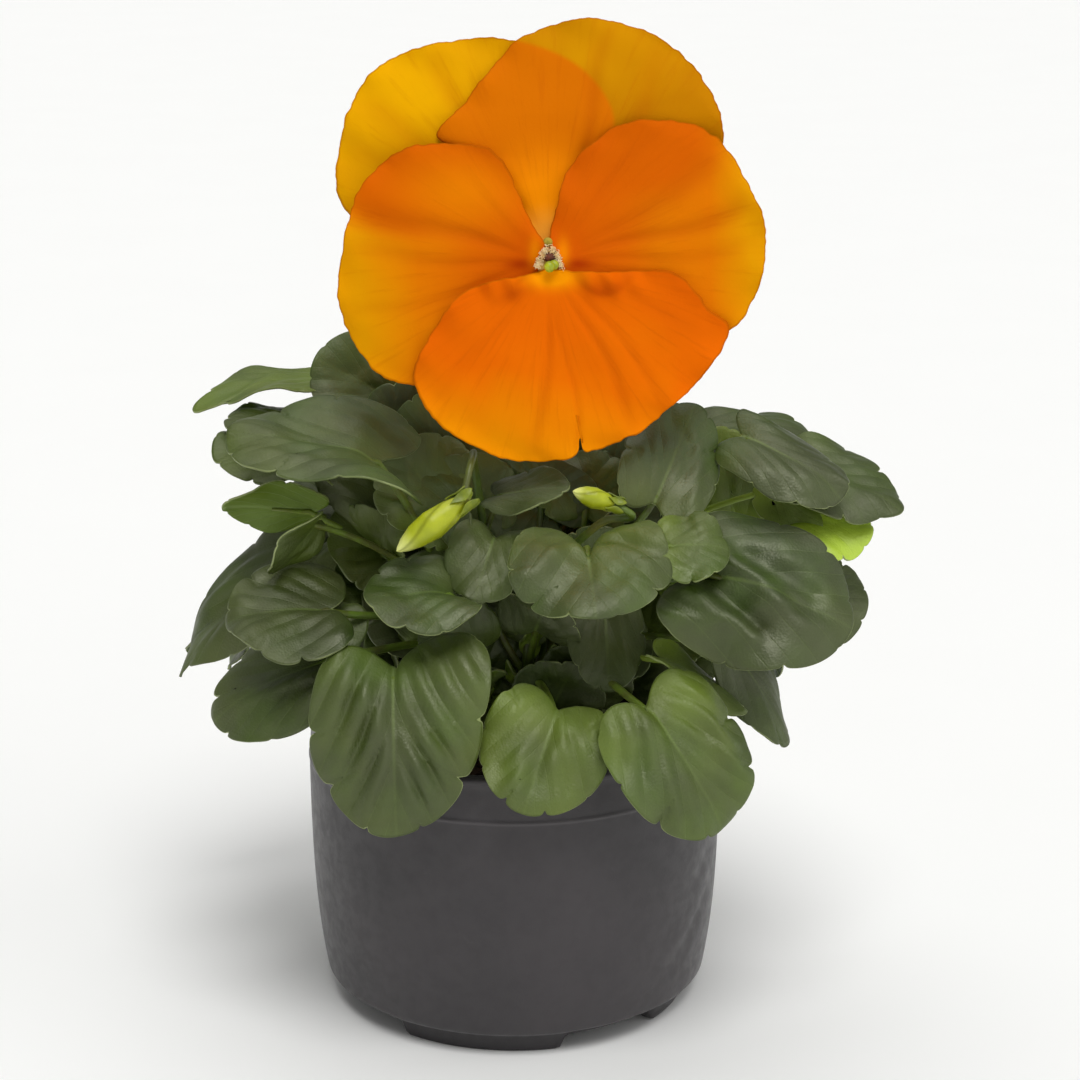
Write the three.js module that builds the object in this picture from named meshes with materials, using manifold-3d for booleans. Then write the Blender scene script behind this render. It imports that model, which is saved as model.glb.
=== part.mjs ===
// A pansy in a round nursery pot, in bloom. Millimetres, +Z up, origin on the floor under the pot's axis.
import * as THREE from 'three';
import { mergeVertices } from 'three/addons/utils/BufferGeometryUtils.js';
import Module from 'manifold-3d';

const wasm = await Module();
wasm.setup();

// Pot: radii of its outside, from the foot up to the rim
const potHeight = 75.7;
const footRadius = 43.8;
const footInnerRadius = 40.6;
const chamferTopRadius = 49.2;
const chamferTopHeight = 8.1;
const widestRadius = 52.5;
const bandHeight = 64;
const rimRadius = 51.4;
const potWall = 1.2;
const floorHeight = 4.5;
const potSides = 36;
const footNotches = 4;
const footNotchSpan = 35;
const footTurn = 123.5;
const footNotchHeight = 3.6;
const drainHoles = 6;
const drainRadius = 3.2;
const drainRing = 27;

// Compost
const gap = 0.3;
const compostTop = 66;
const compostCrown = 2.5;
const holeDepth = 16;
const holeRoom = 0.9;

// Leaves and stems
const bladeThickness = 0.8;
const petioleRadius = 1.1;
const petioleSides = 5;
const petioleSteps = 4;
const petioleDepth = 0.4;
const petioleReach = 0.22;
const lowestNode = 74;
const nodeRise = 0.42;
const stemSides = 6;
const stemSteps = 4;
const stemRadius = 2;
const stemFootRing = 15;
const stemTopRing = 20;
const stemTop = 104;
const crenations = 9;
const crenationDepth = 0.07;
const innerRing = 0.55;
const bladeCentre = 0.47;
const bladeWave = 0.8;
const largeBlade = 32;

// Flower: petals lie in layers in a plane that looks up a little at the front
const flowerCentre = new THREE.Vector3(8.5, -38, 196.6);
const flowerTilt = 10.5;
const petalThickness = 0.9;
const petalSpacing = 1.6;
const petalPoints = 28;
const petalReflex = 0.0012;
const hubRadius = 4;
const styleRadius = 0.7;
const throatRadius = 1.1;
const stigmaRadius = 1.3;
const stalkRadius = 1.3;

const colours = {
  pot: { color: 0x454244, roughness: 0.55 },
  compost: { color: 0x2b211a, roughness: 1 },
  leaf: { color: 0x3d5230, roughness: 0.45 },
  bloom: { color: 0xe07400, roughness: 0.6 },
  bud: { color: 0xa9bb2c, roughness: 0.5 },
  stalk: { color: 0x6d8433, roughness: 0.5 },
};

const radians = THREE.MathUtils.degToRad;
const vector = (point) => new THREE.Vector3(...point);

// ---- solids ----

function solidOf(geometry) {
  const bare = geometry.clone();
  for (const name of Object.keys(bare.attributes)) {
    if (name !== 'position') bare.deleteAttribute(name);
  }
  const merged = mergeVertices(bare, 1e-4);
  const index = merged.index.array;
  const kept = [];
  for (let i = 0; i < index.length; i += 3) {
    const [a, b, c] = [index[i], index[i + 1], index[i + 2]];
    if (a !== b && b !== c && a !== c) kept.push(a, b, c);
  }
  return new wasm.Manifold(new wasm.Mesh({
    numProp: 3,
    vertProperties: new Float32Array(merged.attributes.position.array),
    triVerts: new Uint32Array(kept),
  }));
}

function geometryOf(solid) {
  const mesh = solid.getMesh();
  const geometry = new THREE.BufferGeometry();
  geometry.setAttribute('position', new THREE.BufferAttribute(mesh.vertProperties, 3));
  geometry.setIndex(new THREE.BufferAttribute(mesh.triVerts, 1));
  geometry.computeVertexNormals();
  return geometry;
}

const fused = (solids) => solids.reduce((whole, solid) => whole.add(solid));

function turned(profile, sides) {
  const points = profile.map(([radius, height]) => new THREE.Vector2(radius, height));
  return new THREE.LatheGeometry(points, sides).rotateX(Math.PI / 2);
}

function polygon(radius, sides) {
  const points = [];
  for (let i = 0; i < sides; i += 1) {
    const angle = (2 * Math.PI * i) / sides;
    points.push(new THREE.Vector2(radius * Math.cos(angle), radius * Math.sin(angle)));
  }
  return new THREE.Shape(points);
}

function tube(curve, radius, sides, steps) {
  const shape = polygon(radius, sides);
  return new THREE.ExtrudeGeometry(shape, { steps, bevelEnabled: false, extrudePath: curve });
}

function post(x, y, low, high, radius, sides) {
  const shape = polygon(radius, sides);
  const options = { depth: high - low, bevelEnabled: false };
  return new THREE.ExtrudeGeometry(shape, options).translate(x, y, low);
}

// A thin blade from rings of points: the last ring is the edge, and both faces split alike.
function sheet(top, bottom, innerCount, outerCount) {
  const positions = [];
  for (const face of [top, bottom]) {
    for (const point of face) positions.push(point.x, point.y, point.z);
  }
  const below = top.length;
  const indices = [];
  const face = (a, b, c) => {
    indices.push(a, b, c);
    indices.push(below + a, below + c, below + b);
  };
  const perTooth = outerCount / innerCount;
  const inner = (i) => 1 + (i % innerCount);
  const outer = (i) => 1 + innerCount + (i % outerCount);
  for (let i = 0; i < innerCount; i += 1) {
    face(0, inner(i), inner(i + 1));
    for (let k = 0; k < perTooth; k += 1) {
      face(inner(i), outer(perTooth * i + k), outer(perTooth * i + k + 1));
    }
    face(inner(i), outer(perTooth * (i + 1)), inner(i + 1));
  }
  for (let i = 0; i < outerCount; i += 1) {
    const [a, b] = [outer(i), outer(i + 1)];
    indices.push(a, below + a, b);
    indices.push(b, below + a, below + b);
  }
  const geometry = new THREE.BufferGeometry();
  geometry.setAttribute('position', new THREE.Float32BufferAttribute(positions, 3));
  geometry.setIndex(indices);
  return geometry;
}

// ---- leaves ----

const bump = (angle, width) => Math.exp(-((angle / width) ** 2));
const wrapped = (angle) => Math.atan2(Math.sin(angle), Math.cos(angle));

// The flat outline as a share of the blade: rounded lobes at the base, a sinus where the petiole
// joins, and shallow crenations with narrow notches between them.
function outlineRadius(angle, leaf) {
  const fromBase = Math.abs(wrapped(angle - Math.PI));
  const lobes = (0.07 + 0.35 * leaf.sinus) * bump(fromBase - 0.62, 0.38);
  const sinus = leaf.sinus * bump(fromBase, 0.24);
  const ear = Math.abs(leaf.ear) * bump(wrapped(angle + Math.sign(leaf.ear) * 2.35), 0.5);
  const point = leaf.point * bump(wrapped(angle), 0.3);
  const notch = (1 - Math.abs(Math.cos((crenations * angle) / 2))) ** 4;
  return (1 + lobes - sinus + ear + point) * (1 - crenationDepth * notch);
}

// The blade's frame: it arches from base to tip, and its upper side looks along leaf.face.
function bladeFrame(leaf) {
  const base = vector(leaf.base);
  const chord = vector(leaf.tip).sub(base);
  const length = chord.length();
  const along = chord.normalize();
  const up = vector(leaf.face).projectOnPlane(along).normalize();
  const side = new THREE.Vector3().crossVectors(up, along);
  const arch = radians(leaf.droop);
  const arcRadius = length / (2 * Math.sin(arch / 2));
  return { base, along, up, side, arch, arcRadius };
}

// A point of the blade: p runs from base to tip, q across it, and lift is off its upper side.
function bladePoint(frame, leaf, p, q, lift) {
  const bend = (p - 0.5) * frame.arch;
  const forward = frame.arcRadius * (Math.sin(bend) + Math.sin(frame.arch / 2));
  const rise = frame.arcRadius * (Math.cos(bend) - Math.cos(frame.arch / 2));
  const normal = frame.up.clone().multiplyScalar(Math.cos(bend));
  normal.addScaledVector(frame.along, Math.sin(bend));
  const cup = radians(leaf.cup || 1);
  const cupRadius = leaf.width / cup;
  const [u, v] = [(p - bladeCentre) / (1 - bladeCentre), 2 * q];
  const wave = Math.min(u * u + v * v, 1.4) * Math.sin(3 * Math.atan2(v, u) + leaf.phase);
  const height = cupRadius * (1 - Math.cos(q * cup)) + bladeWave * wave + lift;
  return frame.base.clone()
    .addScaledVector(frame.along, forward)
    .addScaledVector(frame.up, rise)
    .addScaledVector(frame.side, cupRadius * Math.sin(q * cup))
    .addScaledVector(normal, height);
}

function bladeRing(frame, leaf, share, count, lift) {
  const points = [];
  for (let i = 0; i < count; i += 1) {
    const angle = Math.PI / crenations + (2 * Math.PI * i) / count;
    const radius = share * outlineRadius(angle, leaf);
    const p = bladeCentre + (1 - bladeCentre) * radius * Math.cos(angle);
    const q = 0.5 * radius * Math.sin(angle) * (1 - 0.1 * Math.cos(angle));
    points.push(bladePoint(frame, leaf, p, q, lift));
  }
  return points;
}

function bladeSolid(leaf) {
  const frame = bladeFrame(leaf);
  const edgeCount = crenations * (leaf.width >= largeBlade ? 3 : 2);
  const [top, bottom] = [0, -bladeThickness].map((lift) => [
    bladePoint(frame, leaf, bladeCentre, 0, lift),
    ...bladeRing(frame, leaf, innerRing, crenations, lift),
    ...bladeRing(frame, leaf, 1, edgeCount, lift),
  ]);
  return solidOf(sheet(top, bottom, crenations, edgeCount));
}

// The petiole leaves the stem upwards and runs in under the blade as the start of its midrib.
// The higher the leaf, the higher the node of the stem that it comes from.
function petioleSolid(leaf, stem) {
  const frame = bladeFrame(leaf);
  const under = -bladeThickness - petioleDepth;
  const end = bladePoint(frame, leaf, petioleReach, 0, under);
  const before = bladePoint(frame, leaf, petioleReach / 2, 0, under);
  const approach = end.clone().sub(before).normalize();
  const wanted = lowestNode + nodeRise * (leaf.base[2] - 80);
  const height = THREE.MathUtils.clamp(wanted, lowestNode, stemTop - 3);
  const start = stem.getPoint((height - stem.v0.z) / (stem.v2.z - stem.v0.z));
  const reach = start.distanceTo(end);
  const rising = start.clone().add(new THREE.Vector3(0, 0, 0.4 * reach));
  const arriving = end.clone().addScaledVector(approach, -0.4 * reach);
  const curve = new THREE.CubicBezierCurve3(start, rising, arriving, end);
  return solidOf(tube(curve, petioleRadius, petioleSides, petioleSteps));
}

function stemCurve(azimuth) {
  const out = new THREE.Vector3(Math.cos(radians(azimuth)), Math.sin(radians(azimuth)), 0);
  const foot = out.clone().multiplyScalar(stemFootRing).setZ(compostTop - holeDepth + 1);
  const middle = out.clone().multiplyScalar(stemFootRing).setZ(stemTop - 20);
  const top = out.clone().multiplyScalar(stemTopRing).setZ(stemTop);
  return new THREE.QuadraticBezierCurve3(foot, middle, top);
}

const leafDefaults = { droop: 30, cup: 0, sinus: 0.2, ear: 0, point: 0 };

function leaf(base, tip, width, face, shape = {}) {
  const phase = 0.37 * (base[0] + tip[1]) + 0.11 * base[2];
  return { ...leafDefaults, base, tip, width, face, phase, ...shape };
}

// Leaves that the front shows, on the stem that each grows from
const stems = [
  { name: 'leafy_stem_front_left', azimuth: -118, leaves: [
    leaf([-28, -52, 106], [-26, -66, 66], 42, [0, -1, 0.3], { droop: 50, cup: -20, ear: -0.3 }),
    leaf([-12, -46, 120], [-34, -56, 121], 25, [0, -0.55, 1], { droop: 20, cup: -10 }),
    leaf([-3, -35, 134], [-9, -48, 120], 20, [-0.1, -1, 0.5], { droop: 20 }),
    leaf([-5, -34, 140], [13, -42, 145], 13, [0, -0.7, 1], { droop: 10 }),
  ] },
  { name: 'leafy_stem_front', azimuth: -78, leaves: [
    leaf([18, -50, 133], [19, -70, 121], 38, [0, -0.9, 0.9], { cup: -10, sinus: 0.45 }),
    leaf([11, -50, 94], [3, -66, 72], 31, [0, -1, 0.5], { droop: 35, cup: -10 }),
  ] },
  { name: 'leafy_stem_front_right', azimuth: -42, leaves: [
    leaf([40, -42, 125], [78, -50, 112], 43, [0.1, -0.9, 0.75], { droop: 45, cup: -25, sinus: 0.3 }),
    leaf([30, -54, 96], [50, -62, 66], 35, [0.5, -1, 0.4], { droop: 45, cup: -15 }),
    leaf([37, -32, 103], [66, -38, 79], 30, [0.3, -0.5, 1], { droop: 35, cup: 10 }),
    leaf([35, -46, 131], [51, -45, 131], 22, [0, -0.6, 1], { droop: 20 }),
    leaf([32, -36, 138], [42, -18, 159], 24, [0.1, -1, 0.3], { droop: 20, cup: -10 }),
    leaf([22, -26, 112], [23, -40, 93], 19, [0, -1, 0.5], { droop: 25 }),
    leaf([17, -20, 130], [20, -12, 146], 26, [0, -1, 0.3], { droop: 15 }),
  ] },
  { name: 'leafy_stem_right', azimuth: -4, leaves: [
    leaf([69, -8, 113], [86, -16, 101], 34, [0.2, -0.8, 0.8], { droop: 25, cup: -10 }),
    leaf([66, -6, 140], [92, -20, 133], 29, [0.3, -0.6, 1], { droop: 40, cup: -10, point: 0.14 }),
    leaf([73, 0, 123], [90, 4, 119], 23, [0, 0.9, 0.4], { droop: 20 }),
    leaf([53, 6, 147], [74, 10, 142], 24, [0.2, -0.3, 1]),
    leaf([53, -19, 152], [79, -31, 139], 25, [0.3, -0.6, 0.8], { droop: 35, cup: 25 }),
  ] },
  { name: 'leafy_stem_left', azimuth: 178, leaves: [
    leaf([-46, 24, 153], [-78, 12, 151], 30, [0, -0.1, 1], { cup: 10, point: 0.2 }),
    leaf([-50, 4, 147], [-73, 0, 149], 27, [0, -0.05, 1], { droop: 20, cup: 10 }),
    leaf([-46, 0, 137], [-76, -6, 142], 32, [0, -0.25, 1], { droop: 25, cup: 10 }),
    leaf([-48, -14, 129], [-72, -18, 131], 18, [0, 0.8, 0.6], { droop: 15 }),
    leaf([-48, -6, 123], [-82, -8, 88], 36, [-0.5, -0.5, 0.8], { droop: 35, cup: -15, point: 0.14 }),
  ] },
  { name: 'leafy_stem_left_front', azimuth: -154, leaves: [
    leaf([-29, -26, 143], [-68, -28, 152], 36, [0, -0.32, 1], { droop: 40, cup: 30, sinus: 0.35, ear: -0.2 }),
    leaf([-46, -30, 133], [-58, -38, 122], 14, [0.9, 0.2, 0.4], { droop: 20 }),
    leaf([-41, -40, 113], [-68, -46, 113], 33, [0, -0.55, 1], { droop: 25, cup: -10, ear: 0.15 }),
    leaf([-34, -38, 105], [-70, -42, 85], 36, [-0.3, -0.7, 1], { droop: 40 }),
  ] },
  { name: 'leafy_stem_left_back', azimuth: 142, leaves: [
    leaf([-29, 16, 150], [-52, 12, 166], 30, [-0.2, -0.8, 0.7], { droop: 20 }),
    leaf([-23, 1, 139], [-34, 7, 157], 22, [-0.2, -1, 0.6], { droop: 20 }),
    leaf([-17, -10, 134], [-22, -4, 158], 26, [-0.2, -1, 0.4], { droop: 20 }),
    leaf([-42, 18, 124], [-64, 24, 122], 26, [0, -0.6, 1], { droop: 10 }),
    leaf([-60, 38, 99], [-91, 46, 78], 28, [-0.5, 0.5, 1], { droop: 30 }),
  ] },
  { name: 'leafy_stem_back', azimuth: 104, leaves: [] },
  { name: 'leafy_stem_back_right', azimuth: 67, leaves: [] },
  { name: 'leafy_stem_right_back', azimuth: 30, leaves: [] },
];

function leafySolid(stem) {
  const curve = stemCurve(stem.azimuth);
  const parts = [solidOf(tube(curve, stemRadius, stemSides, stemSteps))];
  for (const each of stem.leaves) parts.push(petioleSolid(each, curve), bladeSolid(each));
  return fused(parts);
}

// The leaves behind and inside stand in tiers. Every other leaf of a tier is higher, so that
// neighbours overlap without touching, and each is a little off its even place.
const backTiers = [
  { count: 6, from: 8, step: 33, ring: [48, 73], height: [98, 72], width: 34, droop: 40, lean: 0.6 },
  { count: 5, from: 24, step: 34, ring: [42, 71], height: [120, 106], width: 35, droop: 35, lean: 0.7 },
  { count: 3, from: 44, step: 34, ring: [34, 64], height: [140, 136], width: 32, droop: 30, lean: 0.5 },
  { count: 2, from: 58, step: 62, ring: [14, 40], height: [150, 160], width: 28, droop: 25, lean: 0.3 },
  { count: 2, from: 44, step: 50, ring: [24, 34], height: [102, 124], width: 27, droop: 15, lean: 1.4 },
];
const backStemCount = 4;
const tierStagger = 8;

function seeded(seed) {
  let state = seed;
  return () => {
    state = (state * 16807) % 2147483647;
    return state / 2147483647 - 0.5;
  };
}

function ringPoint(azimuth, ring, height) {
  return [ring * Math.cos(radians(azimuth)), ring * Math.sin(radians(azimuth)), height];
}

function tierLeaf(tier, i, draw) {
  const azimuth = tier.from + tier.step * i + 6 * draw();
  const lift = (i % 2) * tierStagger + 2 * draw();
  const base = ringPoint(azimuth, tier.ring[0] + 3 * draw(), tier.height[0] + lift);
  const tip = ringPoint(azimuth + 14 * draw(), tier.ring[1] + 4 * draw(), tier.height[1] + lift);
  const [x, y] = ringPoint(azimuth, tier.lean, 0);
  const face = [x + 0.3 * draw(), y + 0.3 * draw(), 1];
  const shape = { droop: tier.droop, cup: 20 * draw(), azimuth };
  return leaf(base, tip, tier.width + 3 * draw(), face, shape);
}

function addBackLeaves() {
  const draw = seeded(4711);
  const backStems = stems.slice(-backStemCount);
  for (const tier of backTiers) {
    for (let i = 0; i < tier.count; i += 1) {
      const each = tierLeaf(tier, i, draw);
      const apart = (stem) => Math.abs(stem.azimuth - each.azimuth);
      const nearest = backStems.reduce((best, stem) => (apart(stem) < apart(best) ? stem : best));
      nearest.leaves.push(each);
    }
  }
}

// ---- pot and compost ----

// The wall bellies out: most of its width comes just above the foot.
function wallRadius(height) {
  const share = (height - chamferTopHeight) / (bandHeight - chamferTopHeight);
  return widestRadius - (widestRadius - chamferTopRadius) * (1 - share) ** 3;
}

const wallHeights = [chamferTopHeight, 20, 40];

function potSolid() {
  const inside = potWall * 1.02;
  const profile = [
    [0, floorHeight],
    [footInnerRadius - 0.6, floorHeight],
    [footInnerRadius, 0],
    [footRadius, 0],
    [footRadius + 0.6, 0.8],
    [chamferTopRadius - 1.2, chamferTopHeight - 3],
    ...wallHeights.map((height) => [wallRadius(height), height]),
    [widestRadius, bandHeight - 1.2],
    [widestRadius - 0.5, bandHeight],
    [widestRadius, bandHeight + 1],
    [widestRadius - 0.1, potHeight - 4],
    [rimRadius, potHeight - 0.4],
    [rimRadius - 0.4, potHeight],
    [rimRadius - inside, potHeight - 0.3],
    [widestRadius - inside - 0.5, bandHeight],
    ...wallHeights.map((height) => [wallRadius(height) - inside, height]).reverse(),
    [footRadius - 0.2, floorHeight + potWall],
    [0, floorHeight + potWall],
  ];
  let pot = solidOf(turned(profile, potSides));
  for (let i = 0; i < footNotches; i += 1) {
    pot = pot.subtract(solidOf(footNotch(footTurn + (360 / footNotches) * i)));
  }
  for (let i = 0; i < drainHoles; i += 1) {
    const [x, y] = ringPoint((360 / drainHoles) * i, drainRing, 0);
    pot = pot.subtract(solidOf(post(x, y, 0, floorHeight + 4, drainRadius, 10)));
  }
  return pot;
}

function footNotch(azimuth) {
  const [start, end] = [azimuth - footNotchSpan / 2, azimuth + footNotchSpan / 2].map(radians);
  const shape = new THREE.Shape();
  shape.absarc(0, 0, chamferTopRadius + 4, start, end, false);
  shape.absarc(0, 0, footInnerRadius - 3, end, start, true);
  shape.closePath();
  const options = { depth: footNotchHeight + 1, bevelEnabled: false, curveSegments: 5 };
  return new THREE.ExtrudeGeometry(shape, options).translate(0, 0, -1);
}

function compostSolid(feet) {
  const clear = potWall * 1.02 + gap;
  const bottom = floorHeight + potWall + gap;
  const profile = [
    [0, bottom],
    [footRadius - 0.8, bottom],
    ...wallHeights.map((height) => [wallRadius(height) - clear - 0.1, height + 0.1]),
    [wallRadius(compostTop - 6) - clear - 0.6, compostTop - 6],
    [wallRadius(compostTop - 6) - clear - 1.8, compostTop - 1],
    [35, compostTop + 0.6 * compostCrown],
    [0, compostTop + compostCrown],
  ];
  const drills = feet.map(([x, y, radius]) => {
    return solidOf(post(x, y, compostTop - holeDepth, compostTop + 9, radius + holeRoom, 8));
  });
  return drills.reduce((whole, drill) => whole.subtract(drill), solidOf(turned(profile, potSides)));
}

// ---- flower ----

const facing = new THREE.Vector3(0, -Math.cos(radians(flowerTilt)), Math.sin(radians(flowerTilt)));
const flowerUp = new THREE.Vector3(0, Math.sin(radians(flowerTilt)), Math.cos(radians(flowerTilt)));

// A point of the flower: right, up and out of its face, from the middle of the throat
function flowerPoint(right, up, out) {
  return flowerCentre.clone()
    .addScaledVector(new THREE.Vector3(1, 0, 0), right)
    .addScaledVector(flowerUp, up)
    .addScaledVector(facing, out);
}

// Petal edges as few points of one closed smooth curve each, back to front
const petals = [
  { layer: 3, edge: [
    [-0.5, 1], [-18, 6], [-36, 6], [-48, 13], [-48.5, 28], [-42.5, 42], [-33, 48.5], [-18, 51.5],
    [-4, 50], [8, 44], [15, 33], [11, 20], [4, 10],
  ] },
  { layer: 2, edge: [
    [0.5, 1], [-7, 14], [-16, 24], [-26, 29], [-20, 36], [-14.5, 43], [-6.5, 51.5], [6, 55.5], [18, 54.5],
    [28.5, 49.5], [37, 40], [40, 27], [34, 17], [18, 10],
  ] },
  { layer: 1, edge: [
    [-1, 1], [-4.5, 10], [-10, 22], [-16.5, 26.5], [-32, 26.5], [-43, 18], [-47.5, 4], [-48.5, -10],
    [-43, -22], [-34, -28], [-24, -26], [-13, -15],
  ] },
  { layer: 1, edge: [
    [1, 1], [2.5, 16], [6, 24], [11.5, 28.5], [17.5, 32], [31.5, 32], [40.5, 26.5], [48.8, 12], [49.8, 0],
    [47, -9], [41.7, -15.7], [32, -18], [18, -11],
  ] },
  { layer: 0, edge: [
    [0, -1.5], [-7, -3.2], [-15.2, -4.8], [-22.3, -9.2], [-30.2, -21.4], [-30.6, -29.5], [-24, -38.2],
    [-11.3, -45], [-1, -45.9], [9.4, -42], [16.4, -40.5], [23.3, -37.5], [34.8, -26.7], [41.7, -15.7],
    [36.6, -10.6], [29, -2.5], [16, -2], [6, -2],
  ] },
];

const petalLift = (x, y, layer) => -petalSpacing * layer - petalReflex * (x * x + y * y)
  + 0.7 * Math.sin(0.11 * x + 0.5) * Math.cos(0.13 * y);

function petalSolid(petal) {
  const knots = petal.edge.map(([x, y]) => new THREE.Vector3(x, y, 0));
  const curve = new THREE.CatmullRomCurve3(knots, true, 'centripetal');
  const edge = [];
  for (let i = 0; i < petalPoints; i += 1) edge.push(curve.getPointAt(i / petalPoints));
  if (THREE.ShapeUtils.area(edge) < 0) edge.reverse();
  const centre = edge.reduce((sum, point) => sum.add(point), new THREE.Vector3()).divideScalar(edge.length);
  const ring = edge.filter((_, i) => i % 2 === 0).map((point) => point.clone().lerp(centre, 0.45));
  const [top, bottom] = [0, -petalThickness].map((lift) => [centre, ...ring, ...edge].map(({ x, y }) => {
    return flowerPoint(x, y, petalLift(x, y, petal.layer) + lift);
  }));
  return solidOf(sheet(top, bottom, ring.length, edge.length));
}

function alongFlower(points, radius, sides, steps) {
  const curve = new THREE.CatmullRomCurve3(points.map((point) => flowerPoint(...point)));
  return solidOf(tube(curve, radius, sides, steps));
}

const hubBack = -3 * petalSpacing - petalThickness - 0.4;

function bloomSolid() {
  const hub = alongFlower([[0, 0, hubBack], [0, 0, -2], [0, 0, 0.8]], hubRadius, 16, 1);
  const spur = alongFlower([[0, -3, -3], [0, -6, -8], [0, -8.5, -13]], 1.5, 8, 4);
  const throat = alongFlower([[0, 0, hubBack - 3], [0, 0, 0], [0, 0, 4]], throatRadius, 10, 1);
  return fused([...petals.map(petalSolid), hub, spur]).subtract(throat);
}

// Five narrow sepals behind the petals, leaving the lowest place to the spur
function sepalSolid(turn, back) {
  const edge = [[1, -1.3], [5, -2.8], [9, -2.4], [14, 0], [9, 2.4], [5, 2.8], [1, 1.3], [-1, 0]];
  const [c, s] = [Math.cos(radians(turn)), Math.sin(radians(turn))];
  const place = (lift) => ([x, y]) => flowerPoint(
    c * x - s * y,
    s * x + c * y,
    back - 0.004 * x * x + lift,
  );
  const ring = edge.filter((_, i) => i % 2 === 0).map(([x, y]) => [5 + (x - 5) * 0.4, y * 0.4]);
  const [top, bottom] = [0, -0.8].map((lift) => [[5, 0], ...ring, ...edge].map(place(lift)));
  return solidOf(sheet(top, bottom, ring.length, edge.length));
}

const stalkFoot = [3, 7, stalkRadius];

// A stalk stands upright where it is in its hole.
function rootedFoot([x, y]) {
  return [1 - holeDepth, 5].map((height) => new THREE.Vector3(x, y, compostTop + height));
}

function flowerStalkSolid() {
  const back = hubBack - 1.6;
  const knots = [
    ...rootedFoot(stalkFoot),
    new THREE.Vector3(4, 5, 100),
    new THREE.Vector3(7, -4, 150),
    new THREE.Vector3(8.5, -13, 190),
    flowerPoint(0, 8.5, back - 9.5),
    flowerPoint(0, 9, back - 6),
    flowerPoint(0, 3.5, back - 3.2),
    flowerPoint(0, 0, back - 1),
  ];
  const stalk = solidOf(tube(new THREE.CatmullRomCurve3(knots), stalkRadius, 6, 22));
  const receptacle = alongFlower([[0, 0, back - 3], [0, 0, back - 1.5], [0, 0, back]], 2.6, 10, 1);
  const style = alongFlower([[0, 0, back - 1], [0, 0, -2], [0, 0, 1.6]], styleRadius, 8, 1);
  const stigma = new THREE.SphereGeometry(stigmaRadius, 10, 8).translate(...flowerPoint(0, 0, 2.2));
  const sepals = [90, 28, 152, -32, 212].map((turn) => sepalSolid(turn, back - 0.2));
  return fused([stalk, receptacle, style, solidOf(stigma), ...sepals]);
}

// ---- buds ----

const buds = [
  {
    name: 'bud_left', tip: [-27, -48, 130.5], neck: [-10.5, -43, 142], radius: 4.2,
    foot: [-6, -9, stalkRadius], route: [[-6, -14, 110], [-9, -30, 146], [-9.5, -38, 150]],
  },
  {
    name: 'bud_right', tip: [14, -46, 144.5], neck: [24, -45, 141], radius: 2.9,
    foot: [6, -8, stalkRadius], route: [[9, -16, 112], [20, -38, 134], [28, -45, 138]],
  },
];

function budSolid(bud) {
  const [neck, tip] = [vector(bud.neck), vector(bud.tip)];
  const axis = tip.clone().sub(neck);
  const length = axis.length();
  const shape = [[0, 0], [0.45, 0.06], [0.8, 0.25], [1, 0.5], [0.85, 0.75], [0.4, 0.94], [0, 1]];
  const profile = shape.map(([share, at]) => new THREE.Vector2(share * bud.radius, at * length));
  const body = new THREE.LatheGeometry(profile, 12);
  const turn = new THREE.Quaternion().setFromUnitVectors(new THREE.Vector3(0, 1, 0), axis.normalize());
  body.applyQuaternion(turn).translate(neck.x, neck.y, neck.z);
  const knots = [...rootedFoot(bud.foot), ...bud.route.map(vector), neck.clone().addScaledVector(axis, 1.5)];
  const stalk = tube(new THREE.CatmullRomCurve3(knots), stalkRadius, 6, 14);
  return fused([solidOf(body), solidOf(stalk)]);
}

// ---- the planter ----

addBackLeaves();

const stemFeet = stems.map((stem) => {
  const { x, y } = stemCurve(stem.azimuth).v0;
  return [x, y, stemRadius];
});
const feet = [...stemFeet, stalkFoot, ...buds.map((bud) => bud.foot)];

const planter = new THREE.Group();

function place(name, solid, colour) {
  const mesh = new THREE.Mesh(geometryOf(solid), new THREE.MeshStandardMaterial(colour));
  mesh.name = name;
  planter.add(mesh);
}

place('pot', potSolid(), colours.pot);
place('compost', compostSolid(feet), colours.compost);
for (const stem of stems) place(stem.name, leafySolid(stem), colours.leaf);
place('flower_stalk', flowerStalkSolid(), colours.stalk);
place('bloom', bloomSolid(), colours.bloom);
for (const bud of buds) place(bud.name, budSolid(bud), colours.bud);

export default planter;
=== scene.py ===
import math
import random

import bmesh
import bpy
import numpy as np
from mathutils import Matrix, Vector, geometry, noise


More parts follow.
